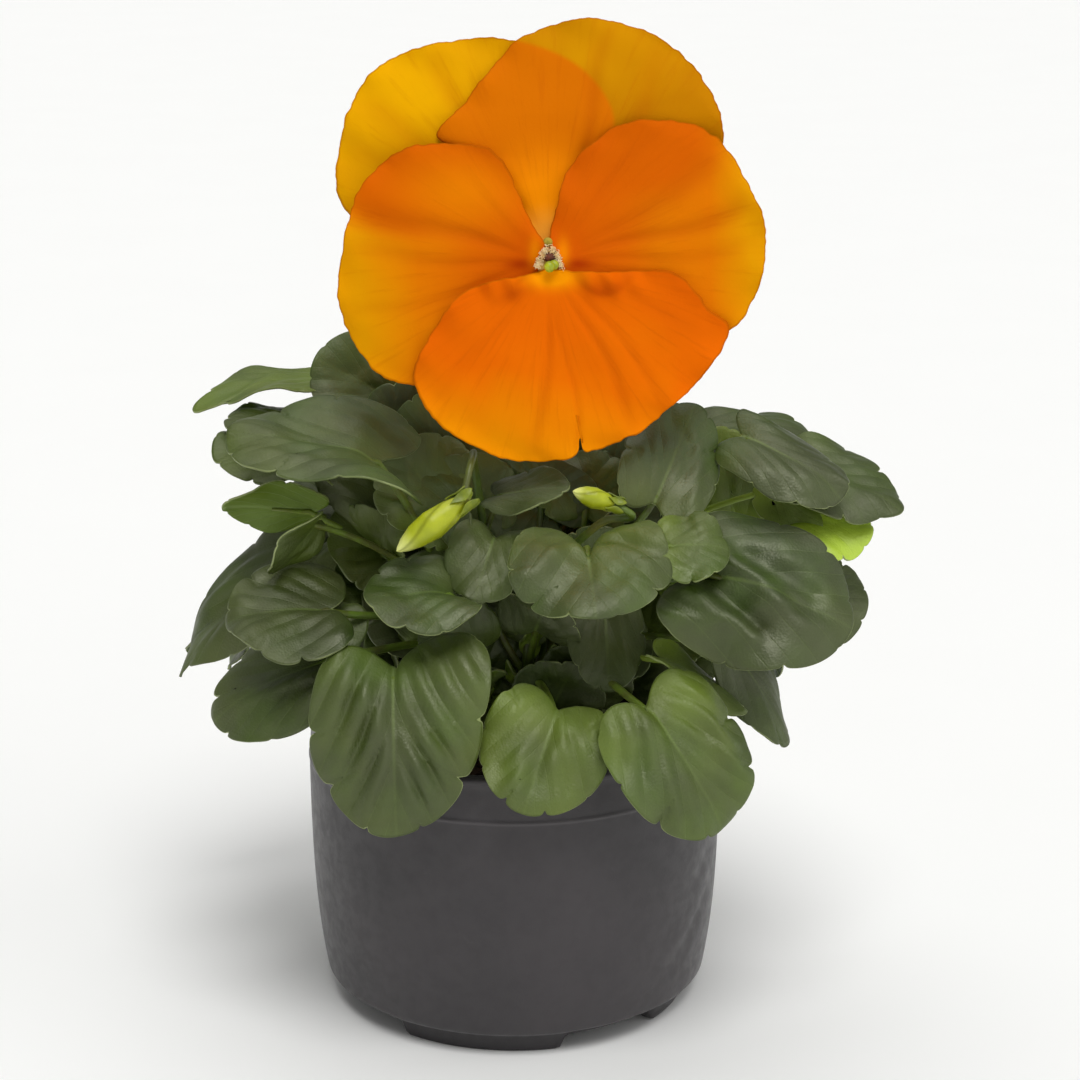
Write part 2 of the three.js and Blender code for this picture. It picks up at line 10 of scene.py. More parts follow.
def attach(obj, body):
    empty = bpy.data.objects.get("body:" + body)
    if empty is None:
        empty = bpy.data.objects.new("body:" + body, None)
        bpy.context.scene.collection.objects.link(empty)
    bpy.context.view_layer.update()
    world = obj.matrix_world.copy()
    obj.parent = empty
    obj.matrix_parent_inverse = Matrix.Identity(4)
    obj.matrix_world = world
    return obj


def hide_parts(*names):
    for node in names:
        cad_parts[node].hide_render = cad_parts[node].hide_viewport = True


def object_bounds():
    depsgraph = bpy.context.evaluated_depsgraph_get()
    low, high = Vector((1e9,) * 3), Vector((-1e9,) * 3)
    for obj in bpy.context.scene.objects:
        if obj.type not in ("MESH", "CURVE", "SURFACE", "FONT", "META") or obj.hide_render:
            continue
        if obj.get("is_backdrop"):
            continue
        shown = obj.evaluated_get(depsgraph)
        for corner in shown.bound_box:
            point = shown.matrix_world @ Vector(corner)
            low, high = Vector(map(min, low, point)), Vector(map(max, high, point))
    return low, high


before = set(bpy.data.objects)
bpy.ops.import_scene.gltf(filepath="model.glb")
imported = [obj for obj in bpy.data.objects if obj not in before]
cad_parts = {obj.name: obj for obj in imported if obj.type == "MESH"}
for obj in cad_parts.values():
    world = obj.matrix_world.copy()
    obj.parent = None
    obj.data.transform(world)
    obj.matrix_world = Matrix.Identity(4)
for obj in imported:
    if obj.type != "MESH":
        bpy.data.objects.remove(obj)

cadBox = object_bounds()
mm = 0.001  # lengths below are in millimetres, and meshes are in metres
print("frame:", len(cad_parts), "nodes")


# small helpers for numbers

def bump(value, width):  # 1 at nought, falling off smoothly to both sides
    return math.exp(-((value / width) ** 2))


def clamp(value, low=0, high=1):
    return min(max(value, low), high)


def wrapped(angle):
    return math.atan2(math.sin(angle), math.cos(angle))


def ringPoint(azimuth, ring, height):  # degrees and millimetres, about the pot's axis
    return (ring * math.cos(math.radians(azimuth)), ring * math.sin(math.radians(azimuth)), height)


# small helpers for meshes

def closeMesh(bm, name, materials, smooth=True):
    mesh = bpy.data.meshes.new(name)
    bmesh.ops.transform(bm, matrix=Matrix.Scale(mm, 4), verts=bm.verts)
    for face in bm.faces:
        face.smooth = smooth
    bm.to_mesh(mesh)
    bm.free()
    piece = bpy.data.objects.new(name, mesh)
    bpy.context.scene.collection.objects.link(piece)
    for material in materials:
        mesh.materials.append(material)
    return piece


def fit(piece, slot, *nodes):  # every piece rides on the planter's one body
    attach(piece, "root")
    if nodes:
        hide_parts(*nodes)
    return piece


def makePiece(bm, name, materials, slot, *nodes, smooth=True):
    return fit(closeMesh(bm, name, materials, smooth), slot, *nodes)


def thicken(piece, thickness, offset=-1):
    solidify = piece.modifiers.new("thickness", "SOLIDIFY")
    solidify.thickness = thickness * mm
    solidify.offset = offset
    return solidify


def discGrid(bm, divisions):  # a square grid pressed into a disc, with its middle row kept straight
    made = bmesh.ops.create_grid(bm, x_segments=divisions, y_segments=divisions, size=1)["verts"]
    for vert in made:
        x, y = vert.co.x, vert.co.y
        vert.co = (x * math.sqrt(1 - y * y / 2), y * math.sqrt(1 - x * x / 2), 0)
    return made


def smoothLine(knots, perSpan, closed=False):  # a curve through the knots
    knots = [Vector(knot) for knot in knots]
    count = len(knots)
    line = []
    for i in range(count if closed else count - 1):
        if closed:
            before, start, end, after = (knots[(i + k) % count] for k in (-1, 0, 1, 2))
        else:
            before, start, end, after = (knots[clamp(i + k, 0, count - 1)] for k in (-1, 0, 1, 2))
        leave = start + (end - before) / 6
        arrive = end - (after - start) / 6
        line += geometry.interpolate_bezier(start, leave, arrive, end, perSpan + 1)[:-1]
    return line if closed else line + [knots[-1]]


def sweep(bm, path, radii, sides, flat=1.0):  # a closed tube along a path, by extruding its end cap
    last = len(path) - 1
    tangents = [(path[min(i + 1, last)] - path[max(i - 1, 0)]).normalized() for i in range(last + 1)]
    across = tangents[0].orthogonal().normalized()
    first = bmesh.ops.create_circle(bm, cap_ends=True, segments=sides, radius=1)["verts"]
    ring = list(first)
    shape = [vert.co.copy() for vert in ring]
    used = set(ring)
    for i, point in enumerate(path):
        if i:
            cap = next(f for f in ring[0].link_faces if len(f.verts) == sides and set(f.verts) == set(ring))
            spots = [vert.co.copy() for vert in ring]
            geom = bmesh.ops.extrude_face_region(bm, geom=[cap])["geom"]
            if i > 1:  # the first cap stays, and closes the foot
                bmesh.ops.delete(bm, geom=[cap], context="FACES_ONLY")
            fresh = [item for item in geom if isinstance(item, bmesh.types.BMVert)]
            ring = [min(fresh, key=lambda v, s=spot: (v.co - s).length_squared) for spot in spots]
            used.update(ring)
        across = (across - tangents[i] * across.dot(tangents[i])).normalized()
        second = tangents[i].cross(across)
        radius = radii[i] if hasattr(radii, "__len__") else radii
        for vert, spot in zip(ring, shape):
            vert.co = point + across * spot.x * radius + second * spot.y * radius * flat
    faces = {face for vert in used for face in vert.link_faces}
    bmesh.ops.recalc_face_normals(bm, faces=list(faces))
    return used


def spun(bm, profile, steps):  # a closed solid of revolution about the Z axis
    verts = [bm.verts.new((radius, 0, height)) for radius, height in profile]
    edges = [bm.edges.new(pair) for pair in zip(verts, verts[1:])]
    bmesh.ops.spin(bm, geom=verts + edges, cent=(0, 0, 0), axis=(0, 0, 1), angle=2 * math.pi,
                   steps=steps, use_merge=True)
    bmesh.ops.remove_doubles(bm, verts=bm.verts, dist=1e-4)
    bmesh.ops.recalc_face_normals(bm, faces=bm.faces)


# small helpers for materials

def seen(red, green, blue):  # a colour as the eye sees it, 0 to 255, as the shaders want it
    parts = [part / 255 for part in (red, green, blue)]
    return (*(p / 12.92 if p <= 0.04045 else ((p + 0.055) / 1.055) ** 2.4 for p in parts), 1.0)


def newMaterial(name, roughness, **constants):
    material = bpy.data.materials.new(name)
    material.use_nodes = True
    tree = material.node_tree
    shader = tree.nodes["Principled BSDF"]
    shader.inputs["Roughness"].default_value = roughness
    for key, value in constants.items():
        shader.inputs[key.replace("_", " ")].default_value = value
    return material, tree, shader


def node(tree, kind, inputs=None, **settings):
    made = tree.nodes.new("ShaderNode" + kind)
    for key, value in settings.items():
        setattr(made, key, value)
    for socket, value in (inputs or {}).items():
        if isinstance(value, bpy.types.NodeSocket):
            tree.links.new(value, made.inputs[socket])
        else:
            made.inputs[socket].default_value = value
    return made


def calc(tree, operation, a, b=0.0):
    return node(tree, "Math", {0: a, 1: b}, operation=operation).outputs[0]


def times(tree, a, b):
    return calc(tree, "MULTIPLY", a, b)


def blend(tree, share, a, b):
    return node(tree, "Mix", {0: share, 6: a, 7: b}, data_type="RGBA").outputs[2]


def between(tree, value, low, high, start=0.0, end=1.0):
    inputs = {"Value": value, "From Min": low, "From Max": high, "To Min": start, "To Max": end}
    return node(tree, "MapRange", inputs, interpolation_type="SMOOTHSTEP").outputs[0]


def reading(tree, name):  # a value that the mesh carries
    return node(tree, "Attribute", attribute_name=name).outputs["Fac"]


def cloud(tree, scale, detail=3.0, vector=None, roughness=0.55):
    vector = vector or node(tree, "TexCoord").outputs["Object"]
    inputs = {"Vector": vector, "Scale": scale, "Detail": detail, "Roughness": roughness}
    return node(tree, "TexNoise", inputs).outputs["Fac"]


def patchy(tree, scale, detail, first, second):  # two colours in soft patches
    return blend(tree, between(tree, cloud(tree, scale, detail), 0.3, 0.7), seen(*first), seen(*second))


def relief(tree, shader, height, strength, distance):
    inputs = {"Strength": strength, "Distance": distance, "Height": height}
    tree.links.new(node(tree, "Bump", inputs).outputs[0], shader.inputs["Normal"])


def paint(tree, shader, colour, roughness=None):
    tree.links.new(colour, shader.inputs["Base Color"])
    if roughness is not None:
        tree.links.new(roughness, shader.inputs["Roughness"])


# camera, light and floor

view = {
    "place": (6.4, -650, 310),
    "tilt": 16.36,
    "lens": 90,
    "worldLow": 0.98,        # brightness of the surroundings at the horizon and overhead
    "worldHigh": 0.2,
    "worldSpan": 0.45,
    "floorSize": 24000,
    "floorColour": (246, 246, 244),
    "floorGrain": (236, 236, 234),
}
lamps = {  # wide soft lamps, far away: the way each one shines, its softness in degrees and its strength
    "key": {"towards": (-0.1, 0.6, -1.0), "soft": 28, "strength": 1.7},
    "fill": {"towards": (-1.0, 0.5, -0.6), "soft": 70, "strength": 0.65},
    "top": {"towards": (0.1, -0.25, -1.0), "soft": 55, "strength": 0.9},
}


def makeView():
    camera = bpy.data.objects.new("camera", bpy.data.cameras.new("camera"))
    camera.location = Vector(view["place"]) * mm
    camera.rotation_euler = (math.radians(90 - view["tilt"]), 0, 0)
    camera.data.lens = view["lens"]
    camera.data.sensor_width = 36
    camera.data.clip_end = 100
    bpy.context.scene.collection.objects.link(camera)
    bpy.context.scene.camera = camera
    world = bpy.data.worlds.new("studio")
    world.use_nodes = True
    background = world.node_tree.nodes["Background"]
    background.inputs["Color"].default_value = (1, 1, 1, 1)
    tree = world.node_tree
    height = node(tree, "SeparateXYZ", {0: node(tree, "TexCoord").outputs["Generated"]}).outputs["Z"]
    glow = between(tree, height, 0, view["worldSpan"], view["worldLow"], view["worldHigh"])
    tree.links.new(glow, background.inputs["Strength"])
    bpy.context.scene.world = world
    bpy.context.scene.view_settings.view_transform = "Standard"


def makeLamps():
    for name, lamp in lamps.items():
        light = bpy.data.objects.new(name, bpy.data.lights.new(name, "SUN"))
        light.data.angle = math.radians(lamp["soft"])
        light.data.energy = lamp["strength"]
        light.rotation_euler = Vector(lamp["towards"]).to_track_quat("-Z", "Y").to_euler()
        bpy.context.scene.collection.objects.link(light)


def makeFloor():
    material, tree, shader = newMaterial("paleFloor", 0.8)
    grain = between(tree, cloud(tree, 12, 2), 0.3, 0.7, 0, 0.06)
    paint(tree, shader, blend(tree, grain, seen(*view["floorColour"]), seen(*view["floorGrain"])))
    bm = bmesh.new()
    bmesh.ops.create_grid(bm, x_segments=2, y_segments=2, size=view["floorSize"] / 2)
    floor = closeMesh(bm, "floor", [material])
    floor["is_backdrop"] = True


makeView()
makeLamps()
makeFloor()
print("camera, lamps and floor")


# leaves: the flat outline, the blade's bend and the leaf's veins

leafForm = {
    "centre": 0.47,          # where the blade is widest, as a share of its length
    "lobeWidth": 0.38,       # radians about that centre, as the next three are
    "earTurn": 2.35,
    "earWidth": 0.5,
    "pointWidth": 0.3,
    "crenations": 9,
    "notchDepth": 0.07,
    "wave": 1.1,
    "thickness": 0.5,
    "divisions": (24, 76),   # across the smallest blades and the largest
    "perWidth": 1.45,        # divisions for each millimetre of width, between those two
    "veinSpacing": 0.28,
    "veinLean": 1.0,
    "quilt": 1.2,            # how far the blade swells between its side veins
    "fold": 1.7,
    "pucker": 0.07,
    "midrib": 0.9,
    "margin": 1.0,
    "funnel": 3.2,           # how far the lobes at the base rise beside the petiole
    "rolled": 1.6,           # how far the margin turns down
}
leafLayers = ("vein", "rib", "along", "rim", "fresh")  # what a blade's points carry for its material
petioleForm = {
    "radius": 0.9,
    "tip": 0.3,
    "sides": 8,
    "steps": 12,
    "reach": 0.12,           # where it meets its blade, as a share of the blade's length
    "underBlade": (0.22, 0.36, 0.5),
    "gap": 0.5,              # how far its middle lies below the blade's underside
    "bend": 0.7,
    "lowest": 74,            # the height where the lowest ones leave their stem
    "climb": 0.42,
}
stemForm = {
    "footRing": 15,
    "topRing": 20,
    "foot": 51,
    "middle": 84,
    "top": 104,
    "radius": 2.0,
    "joints": 12,
    "sides": 12,
}


def leaf(base, tip, width, face, **more):  # fresh is how light green a leaf is, from 0 to 1 and beyond
    usual = {
        "droop": 30, "cup": 0, "sinus": 0.2, "cleft": 0.24, "lobe": 0.62, "ear": 0, "point": 0,
        "fresh": 0.2, "pleats": 0.5, "folds": 1, "ridges": (), "notch": leafForm["notchDepth"],
        "phase": 0.37 * (base[0] + tip[1]) + 0.11 * base[2],
    }
    return {"base": base, "tip": tip, "width": width, "face": face, **usual, **more}


def outlineRadius(angle, leaf):
    form = leafForm
    fromBase = abs(wrapped(angle - math.pi))
    lobes = (0.07 + 0.35 * leaf["sinus"]) * bump(fromBase - leaf["lobe"], form["lobeWidth"])
    sinus = leaf["sinus"] * bump(fromBase, leaf["cleft"])
    turn = math.copysign(form["earTurn"], leaf["ear"])
    ear = abs(leaf["ear"]) * bump(wrapped(angle + turn), form["earWidth"])
    point = leaf["point"] * bump(wrapped(angle), form["pointWidth"])
    return (1 + lobes - sinus + ear + point) * (1 - notchAt(angle, leaf))


def notchAt(angle, leaf):  # shallow scallops with a small sharp cut between them
    turn = leafForm["crenations"] * angle / 2 + 0.25 * math.sin(2 * angle + leaf["phase"])
    each = 1 - abs(math.cos(turn))
    depth = leaf["notch"] * (1 + 0.75 * math.sin(2.6 * angle + 1.7 * leaf["phase"]))
    return depth * (0.45 * each ** 2 + 0.9 * each ** 12)


class Blade:  # the curved surface that a leaf's points lie on
    def __init__(self, leaf):
        self.leaf = leaf
        self.base = Vector(leaf["base"])
        chord = Vector(leaf["tip"]) - self.base
        self.length = chord.length
        self.along = chord.normalized()
        face = Vector(leaf["face"])
        self.up = (face - self.along * face.dot(self.along)).normalized()
        self.side = self.up.cross(self.along)
        self.arch = math.radians(leaf["droop"])
        self.radius = self.length / (2 * math.sin(self.arch / 2))
        self.cup = math.radians(leaf["cup"] or 1)
        self.cupRadius = leaf["width"] / self.cup

    def point(self, p, q, lift):  # p runs from base to tip, q from side to side, and lift is off the surface
        bend = (p - 0.5) * self.arch
        forward = self.radius * (math.sin(bend) + math.sin(self.arch / 2))
        rise = self.radius * (math.cos(bend) - math.cos(self.arch / 2))
        normal = self.up * math.cos(bend) + self.along * math.sin(bend)
        u, v = (p - leafForm["centre"]) / (1 - leafForm["centre"]), 2 * q
        wave = min(u * u + v * v, 1.4) * math.sin(3 * math.atan2(v, u) + self.leaf["phase"])
        height = self.cupRadius * (1 - math.cos(q * self.cup)) + leafForm["wave"] * wave + lift
        across = self.cupRadius * math.sin(q * self.cup)
        flat = self.base + self.along * forward + self.up * rise + self.side * across
        return flat + normal * height


def addBlade(bm, leaf):
    blade = Blade(leaf)
    width, phase = leaf["width"], leaf["phase"]
    low, high = leafForm["divisions"]
    divisions = 2 * round(clamp(width * leafForm["perWidth"], low, high) / 2)
    layers = [bm.verts.layers.float[name] for name in leafLayers]
    size = width / 40
    for vert in discGrid(bm, divisions):
        share = min(math.hypot(vert.co.x, vert.co.y), 1)
        angle = math.atan2(vert.co.y, vert.co.x)
        radius = share * outlineRadius(angle, leaf)
        p = leafForm["centre"] + (1 - leafForm["centre"]) * radius * math.cos(angle)
        q = 0.5 * radius * math.sin(angle) * (1 - 0.1 * math.cos(angle))
        across = abs(2 * q)
        vein = p + 0.3 - leafForm["veinLean"] * across ** 0.82 + 0.03 * math.sin(7 * p + 5 * q + phase)
        vein = vein / leafForm["veinSpacing"] + (0.35 if q > 0 else 0)
        lift = bladeRelief(leaf, p, q, across, share, vein) * size
        lift += leafForm["margin"] * size * share ** 4 * math.sin(5 * angle + 2 * phase)
        vert.co = blade.point(p, q, lift)
        mark = share + 0.25 * notchAt(angle, leaf) * share ** 20
        for layer, value in zip(layers, (vein, abs(q) * width, p, mark, leaf["fresh"])):
            vert[layer] = value
    return blade


def bladeRelief(leaf, p, q, across, share, vein):  # millimetres on a blade 40 wide
    form, width, phase = leafForm, leaf["width"], leaf["phase"]
    ridge = abs(math.sin(math.pi * vein)) ** 0.9 - 0.6
    pleat = 0.75 + 0.7 * noise.noise(Vector((2.7 * p, 3.3 * q, phase))) + 0.3 * bump(p - 0.35, 0.3)
    lift = form["quilt"] * leaf["pleats"] * max(pleat, 0) * ridge
    lift *= min(1, 3.5 * across) * (1 - share ** 5)
    lift -= form["midrib"] * bump(q * width, 1.3) * max(0, 1.05 - p)
    lift += form["funnel"] * bump(p, 0.3) * min(1, 1.6 * across) ** 1.4
    twist = 1.2 * noise.noise(Vector((p * 1.7, q * 1.9, phase + 4)))
    lift += form["fold"] * leaf["folds"] * noise.noise(Vector((p * 2.3 + twist, q * 4.2 - twist, phase)))
    for fromP, fromQ, toP, toQ, wide, high in leaf["ridges"]:
        run, rise = toP - fromP, toQ - fromQ
        t = clamp(((p - fromP) * run + (q - fromQ) * rise) / (run * run + rise * rise), -0.15, 1.15)
        away = math.hypot(p - fromP - t * run + 0.02 * math.sin(5 * t), q - fromQ - t * rise)
        lift += high * bump(away, wide) * (1 - share ** 6)
    lift += form["pucker"] * noise.noise(Vector((p * 17, q * 23, phase)))
    return lift - form["rolled"] * max(0, share - 0.55) ** 2 * 3


def stemPoint(azimuth, height):  # a leafy stem leans out towards its top
    form = stemForm
    out = Vector(ringPoint(azimuth, 1, 0))
    t = (height - form["foot"]) / (form["top"] - form["foot"])
    foot = out * form["footRing"] + Vector((0, 0, form["foot"]))
    middle = out * form["footRing"] + Vector((0, 0, form["middle"]))
    top = out * form["topRing"] + Vector((0, 0, form["top"]))
    return foot * (1 - t) ** 2 + middle * 2 * t * (1 - t) + top * t * t


def addPetiole(bm, blade, azimuth):
    form, steps, width = petioleForm, petioleForm["steps"], blade.leaf["width"]
    under = -leafForm["thickness"] - form["gap"]
    end = blade.point(form["reach"], 0, under)
    height = form["lowest"] + form["climb"] * (blade.base.z - 80)
    start = stemPoint(azimuth, clamp(height, form["lowest"], stemForm["top"] - 3))
    reach = (end - start).length
    onward = (end - blade.point(form["reach"] - 0.08, 0, under)).normalized()
    approach = onward.lerp((end - start).normalized(), form["bend"])
    rising = start + Vector((0, 0, 0.3 * reach))
    arriving = end - approach * 0.35 * reach
    path = geometry.interpolate_bezier(start, rising, arriving, end, steps)
    for p in form["underBlade"]:
        path.append(blade.point(p, 0, under - leafForm["midrib"] * width / 40 * (1.05 - p)))
    thick = form["radius"] * min(1, 0.65 + width / 90)
    radii = []
    for i in range(len(path)):
        along = max(0, i - steps + 1) / 3
        radii.append((thick * (1.25 - 0.3 * i / len(path))) * (1 - along) + form["tip"] * along)
    for vert in sweep(bm, path, radii, form["sides"]):
        vert[bm.verts.layers.float["fresh"]] = blade.leaf["fresh"]


# each leafy stem's azimuth and leaves, as the front shows them: base, tip, width and the way the face looks;
# a ridge runs from one place on the blade to another, in shares of it, and has a width and a height

leafyStems = {
    "front_left": (-118, [
        leaf((-28, -52, 106), (-27, -66, 66.5), 40, (0, -1, 0.3), droop=50, cup=-20, ear=-0.3,
             fresh=0.07, pleats=1.6),
        leaf((-12, -46, 120), (-34, -56, 121), 25, (0, -0.55, 1), droop=20, cup=-10, fresh=0.04),
        leaf((-4, -35, 132), (-9, -48, 118), 20, (-0.1, -1, 0.5), droop=20, fresh=0.05),
        leaf((-5, -34, 140), (13, -42, 145), 13, (0, -0.7, 1), droop=10, fresh=0),
    ]),
    "front": (-78, [
        leaf((17, -49, 134.5), (19, -70, 121), 38, (0, -0.9, 0.9), cup=-10, sinus=0.6, cleft=0.13,
             lobe=0.48, fresh=0.06, pleats=0.3,
             ridges=[(0.1, 0.1, 0.3, 0.4, 0.06, -1.4), (0.2, -0.12, 0.45, -0.36, 0.08, 1.3)]),
        leaf((11, -50, 94), (2.5, -66, 72), 31, (0, -1, 0.5), droop=35, cup=-10, fresh=0.18, pleats=0.5),
    ]),
    "front_right": (-42, [
        leaf((41, -42, 124.5), (80, -50, 112.5), 40, (0.1, -0.9, 0.75), droop=45, cup=-38, sinus=0.3,
             fresh=0.02, notch=0.04, pleats=0.25, folds=1.1,
             ridges=[(0.17, 0.14, 0.5, -0.03, 0.06, 2.2), (0.14, -0.06, 0.42, -0.18, 0.06, -2.4),
                     (0.12, -0.17, 0.42, -0.3, 0.06, 1.8), (0.5, -0.12, 0.8, -0.1, 0.07, 1.2),
                     (0.34, 0.16, 0.66, 0.1, 0.07, -1.6)]),
        leaf((30, -54, 96), (50, -62, 66), 35, (0.5, -1, 0.4), droop=45, cup=-15, fresh=0.14, pleats=0.9,
             ridges=[(0.1, -0.05, 0.7, -0.3, 0.07, 1.3), (0.25, 0.3, 0.8, 0.3, 0.08, 1.5)]),
        leaf((49, -32, 106), (66.5, -38, 78.5), 20, (0.9, -0.6, 0.5), droop=25, cup=-45, fresh=0.05),
        leaf((35, -46, 131), (51, -45, 131), 22, (0, -0.6, 1), droop=20, fresh=0.16),
        leaf((33, -36, 137.5), (43.5, -18, 158.5), 24.5, (0.1, -1, 0.3), droop=20, cup=-10, fresh=0.04),
        leaf((22, -26, 112), (23, -40, 93), 19, (0, -1, 0.5), droop=25, fresh=0.03),
        leaf((17, -20, 130), (20, -12, 146), 26, (0, -1, 0.3), droop=15, fresh=0.12),
        leaf((34, -40, 103.5), (55, -45, 89), 12, (0.1, -0.15, 1), droop=25, cup=-25, fresh=0.3),
    ]),
    "right": (-4, [
        leaf((67, -8, 111), (84.5, -16, 99.5), 31, (0.2, -0.8, 0.8), droop=25, cup=-10, fresh=0.03),
        leaf((66, -6, 140), (92, -20, 133), 29, (0.3, -0.6, 1), droop=40, cup=-10, point=0.14, fresh=0.06),
        leaf((67, -17, 130.5), (87, -19, 125.5), 23, (0, -0.6, 0.9), droop=20, fresh=2.6),
        leaf((48, 6, 147), (78, 5, 140), 27, (0.15, -0.2, 1), droop=35, fresh=0.03),
        leaf((53, -19, 152), (79, -31, 139), 25, (0.3, -0.6, 0.8), droop=35, cup=-75, fresh=0.02),
        leaf((64, 0, 131), (65, 2, 146), 26, (0.2, -0.8, 0.5), droop=25, fresh=0.1),
        leaf((55, -4, 124), (50, -6, 150), 19, (-0.2, -1, 0.3), droop=20, fresh=0.35),
        leaf((62, -14, 138), (73, -20, 124), 14, (0, -0.9, 0.5), droop=20, fresh=0.5, notch=0.16),
    ]),
    "left": (178, [
        leaf((-46, 24, 154.5), (-75.5, 12, 154), 25, (0, -0.04, 1), cup=10, point=0.4, fresh=0.3),
        leaf((-50, 4, 148), (-72, 0, 150), 27, (0, -0.05, 1), droop=20, cup=10, fresh=0),
        leaf((-34, -2, 108), (-46, -6, 121), 22, (0, -0.8, 0.5), droop=20, fresh=0.1),
        leaf((-46, 0, 138.5), (-74.5, -6, 143.5), 30, (0, -0.25, 1), droop=25, cup=10, fresh=0.1),
        leaf((-47, -14, 131), (-71, -18, 133), 17, (0, 0.8, 0.6), droop=15, fresh=0.2),
        leaf((-45.5, -6, 122), (-82.7, -8, 90.5), 31, (-0.5, -0.5, 0.8), droop=35, cup=-15, point=0.2,
             fresh=0.02),
    ]),
    "left_front": (-154, [
        leaf((-27, -26, 145), (-68.5, -28, 152), 36, (0, -0.32, 1), droop=40, cup=30, sinus=0.35,
             ear=-0.2, fresh=0.07),
        leaf((-46, -30, 133), (-58, -38, 122), 14, (0.9, 0.2, 0.4), droop=20, fresh=0.1),
        leaf((-41, -40, 113.5), (-68, -46, 113.5), 33, (0, -0.5, 1), droop=25, cup=-10, ear=0.15, fresh=0),
        leaf((-35, -38, 104.5), (-72, -42, 86), 33, (-0.3, -0.7, 1), droop=40, fresh=0.05),
    ]),
    "left_back": (142, [
        leaf((-29, 16, 150), (-50, 12, 163.5), 28, (-0.2, -0.8, 0.7), droop=20, fresh=0.09),
        leaf((-23, 1, 139), (-34, 7, 157), 22, (-0.2, -1, 0.6), droop=20, fresh=0.1),
        leaf((-17, -10, 134), (-22, -4, 158), 26, (-0.2, -1, 0.4), droop=20, fresh=0.15),
        leaf((-42, 18, 124), (-64, 24, 122), 26, (0, -0.6, 1), droop=10, fresh=0.05),
        leaf((-57, 38, 97), (-88, 46, 73), 28, (-0.5, 0.5, 1), fresh=0.06),
    ]),
    "back": (104, []),
    "back_right": (67, []),
    "right_back": (30, []),
}

# the leaves behind stand in tiers: count, first azimuth and step, ring and height of base and tip, width,
# droop and lean
backTiers = [
    (6, 22, 30, (48, 73), (99, 75), 34, 40, 0.6),
    (5, 24, 34, (42, 71), (120, 106), 35, 35, 0.7),
    (3, 44, 34, (34, 64), (140, 136), 32, 30, 0.5),
    (2, 58, 62, (14, 40), (150, 160), 28, 25, 0.3),
    (2, 44, 50, (24, 34), (102, 124), 27, 15, 1.4),
]
backForm = {
    "seed": 4711,
    "stagger": 8,            # how much higher every second leaf of a tier is
    "swing": 6,              # degrees; this and the rest say how far apart draws can put a value
    "lift": 2,
    "baseRing": 3,
    "tipRing": 4,
    "turn": 14,
    "face": 0.3,
    "cup": 20,
    "width": 3,
}


def seeded(seed):  # even draws from -0.5 to 0.5, the same on every machine
    state = seed
    while True:
        state = state * 16807 % 2147483647
        yield state / 2147483647 - 0.5


def addBackLeaves():
    form = backForm
    draws = seeded(form["seed"])
    backStems = list(leafyStems.values())[-4:]

    def spread(key):
        return form[key] * next(draws)

    for count, first, step, ring, height, width, droop, lean in backTiers:
        for i in range(count):
            azimuth = first + step * i + spread("swing")
            lift = i % 2 * form["stagger"] + spread("lift")
            base = ringPoint(azimuth, ring[0] + spread("baseRing"), height[0] + lift)
            turned = azimuth + spread("turn")
            tip = ringPoint(turned, ring[1] + spread("tipRing"), height[1] + lift)
            x, y, _ = ringPoint(azimuth, lean, 0)
            face = (x + spread("face"), y + spread("face"), 1)
            cup = spread("cup")
            each = leaf(base, tip, width + spread("width"), face, droop=droop, cup=cup)
            each["fresh"] = 0.02 + 0.05 * (i * 7 % 4)
            min(backStems, key=lambda stem, a=azimuth: abs(stem[0] - a))[1].append(each)


# small leaves and stipules inside the plant, which close it to the eye

innerForm = {
    "seed": 31,
    "leaves": 3,             # low on each stem
    "width": (15, 24),
    "stipules": 3,
    "stipuleWidth": (4.5, 6.5),
    "fill": 4,               # higher, in the middle of the plant, on each stem
    "fillWidth": (24, 32),
    "fillFront": -16,        # nothing of these comes nearer to the front than this
}


def innerLeaves(azimuth, draw):
    made = []
    for i in range(innerForm["leaves"]):
        around = azimuth + draw.uniform(-20, 20)
        height = 84 + 17 * i + draw.uniform(-4, 4)
        ring = 25 + 3 * i + draw.uniform(-3, 3)
        base = ringPoint(around, ring, height)
        width = draw.uniform(*innerForm["width"])
        tip = ringPoint(around + draw.uniform(-18, 18), ring + 0.45 * width, height + draw.uniform(10, 17))
        x, y, _ = ringPoint(around, 0.9, 0)
        made.append(leaf(base, tip, width, (x, y, 0.7), droop=25, cup=-12, fresh=draw.uniform(0, 0.2)))
    for i in range(innerForm["stipules"]):
        around = azimuth + draw.uniform(-60, 60)
        base = stemPoint(azimuth, draw.uniform(76, 98))
        tip = base + Vector(ringPoint(around, draw.uniform(7, 11), draw.uniform(8, 14)))
        x, y, _ = ringPoint(around, 1, 0)
        width = draw.uniform(*innerForm["stipuleWidth"])
        made.append(leaf(tuple(base), tuple(tip), width, (-x, -y, 0.8), droop=30, sinus=0, notch=0.02,
                         fresh=draw.uniform(0.2, 0.5)))
    front = innerForm["fillFront"]
    for i in range(innerForm["fill"]):
        around = azimuth + draw.uniform(-22, 22)
        width = draw.uniform(*innerForm["fillWidth"])
        x, y, height = ringPoint(around, draw.uniform(20, 38), 87 + 14 * i + draw.uniform(-5, 5))
        y = max(y, front)
        lean = Vector(ringPoint(around, 0.55 * width, draw.uniform(8, 20)))
        tip = (x + lean.x, max(y + lean.y, front), height + lean.z)
        face = (ringPoint(around, 0.5, 0)[0], -0.5, 0.8)
        made.append(leaf((x, y, height), tip, width, face, droop=25, fresh=draw.uniform(0, 0.15)))
    return made


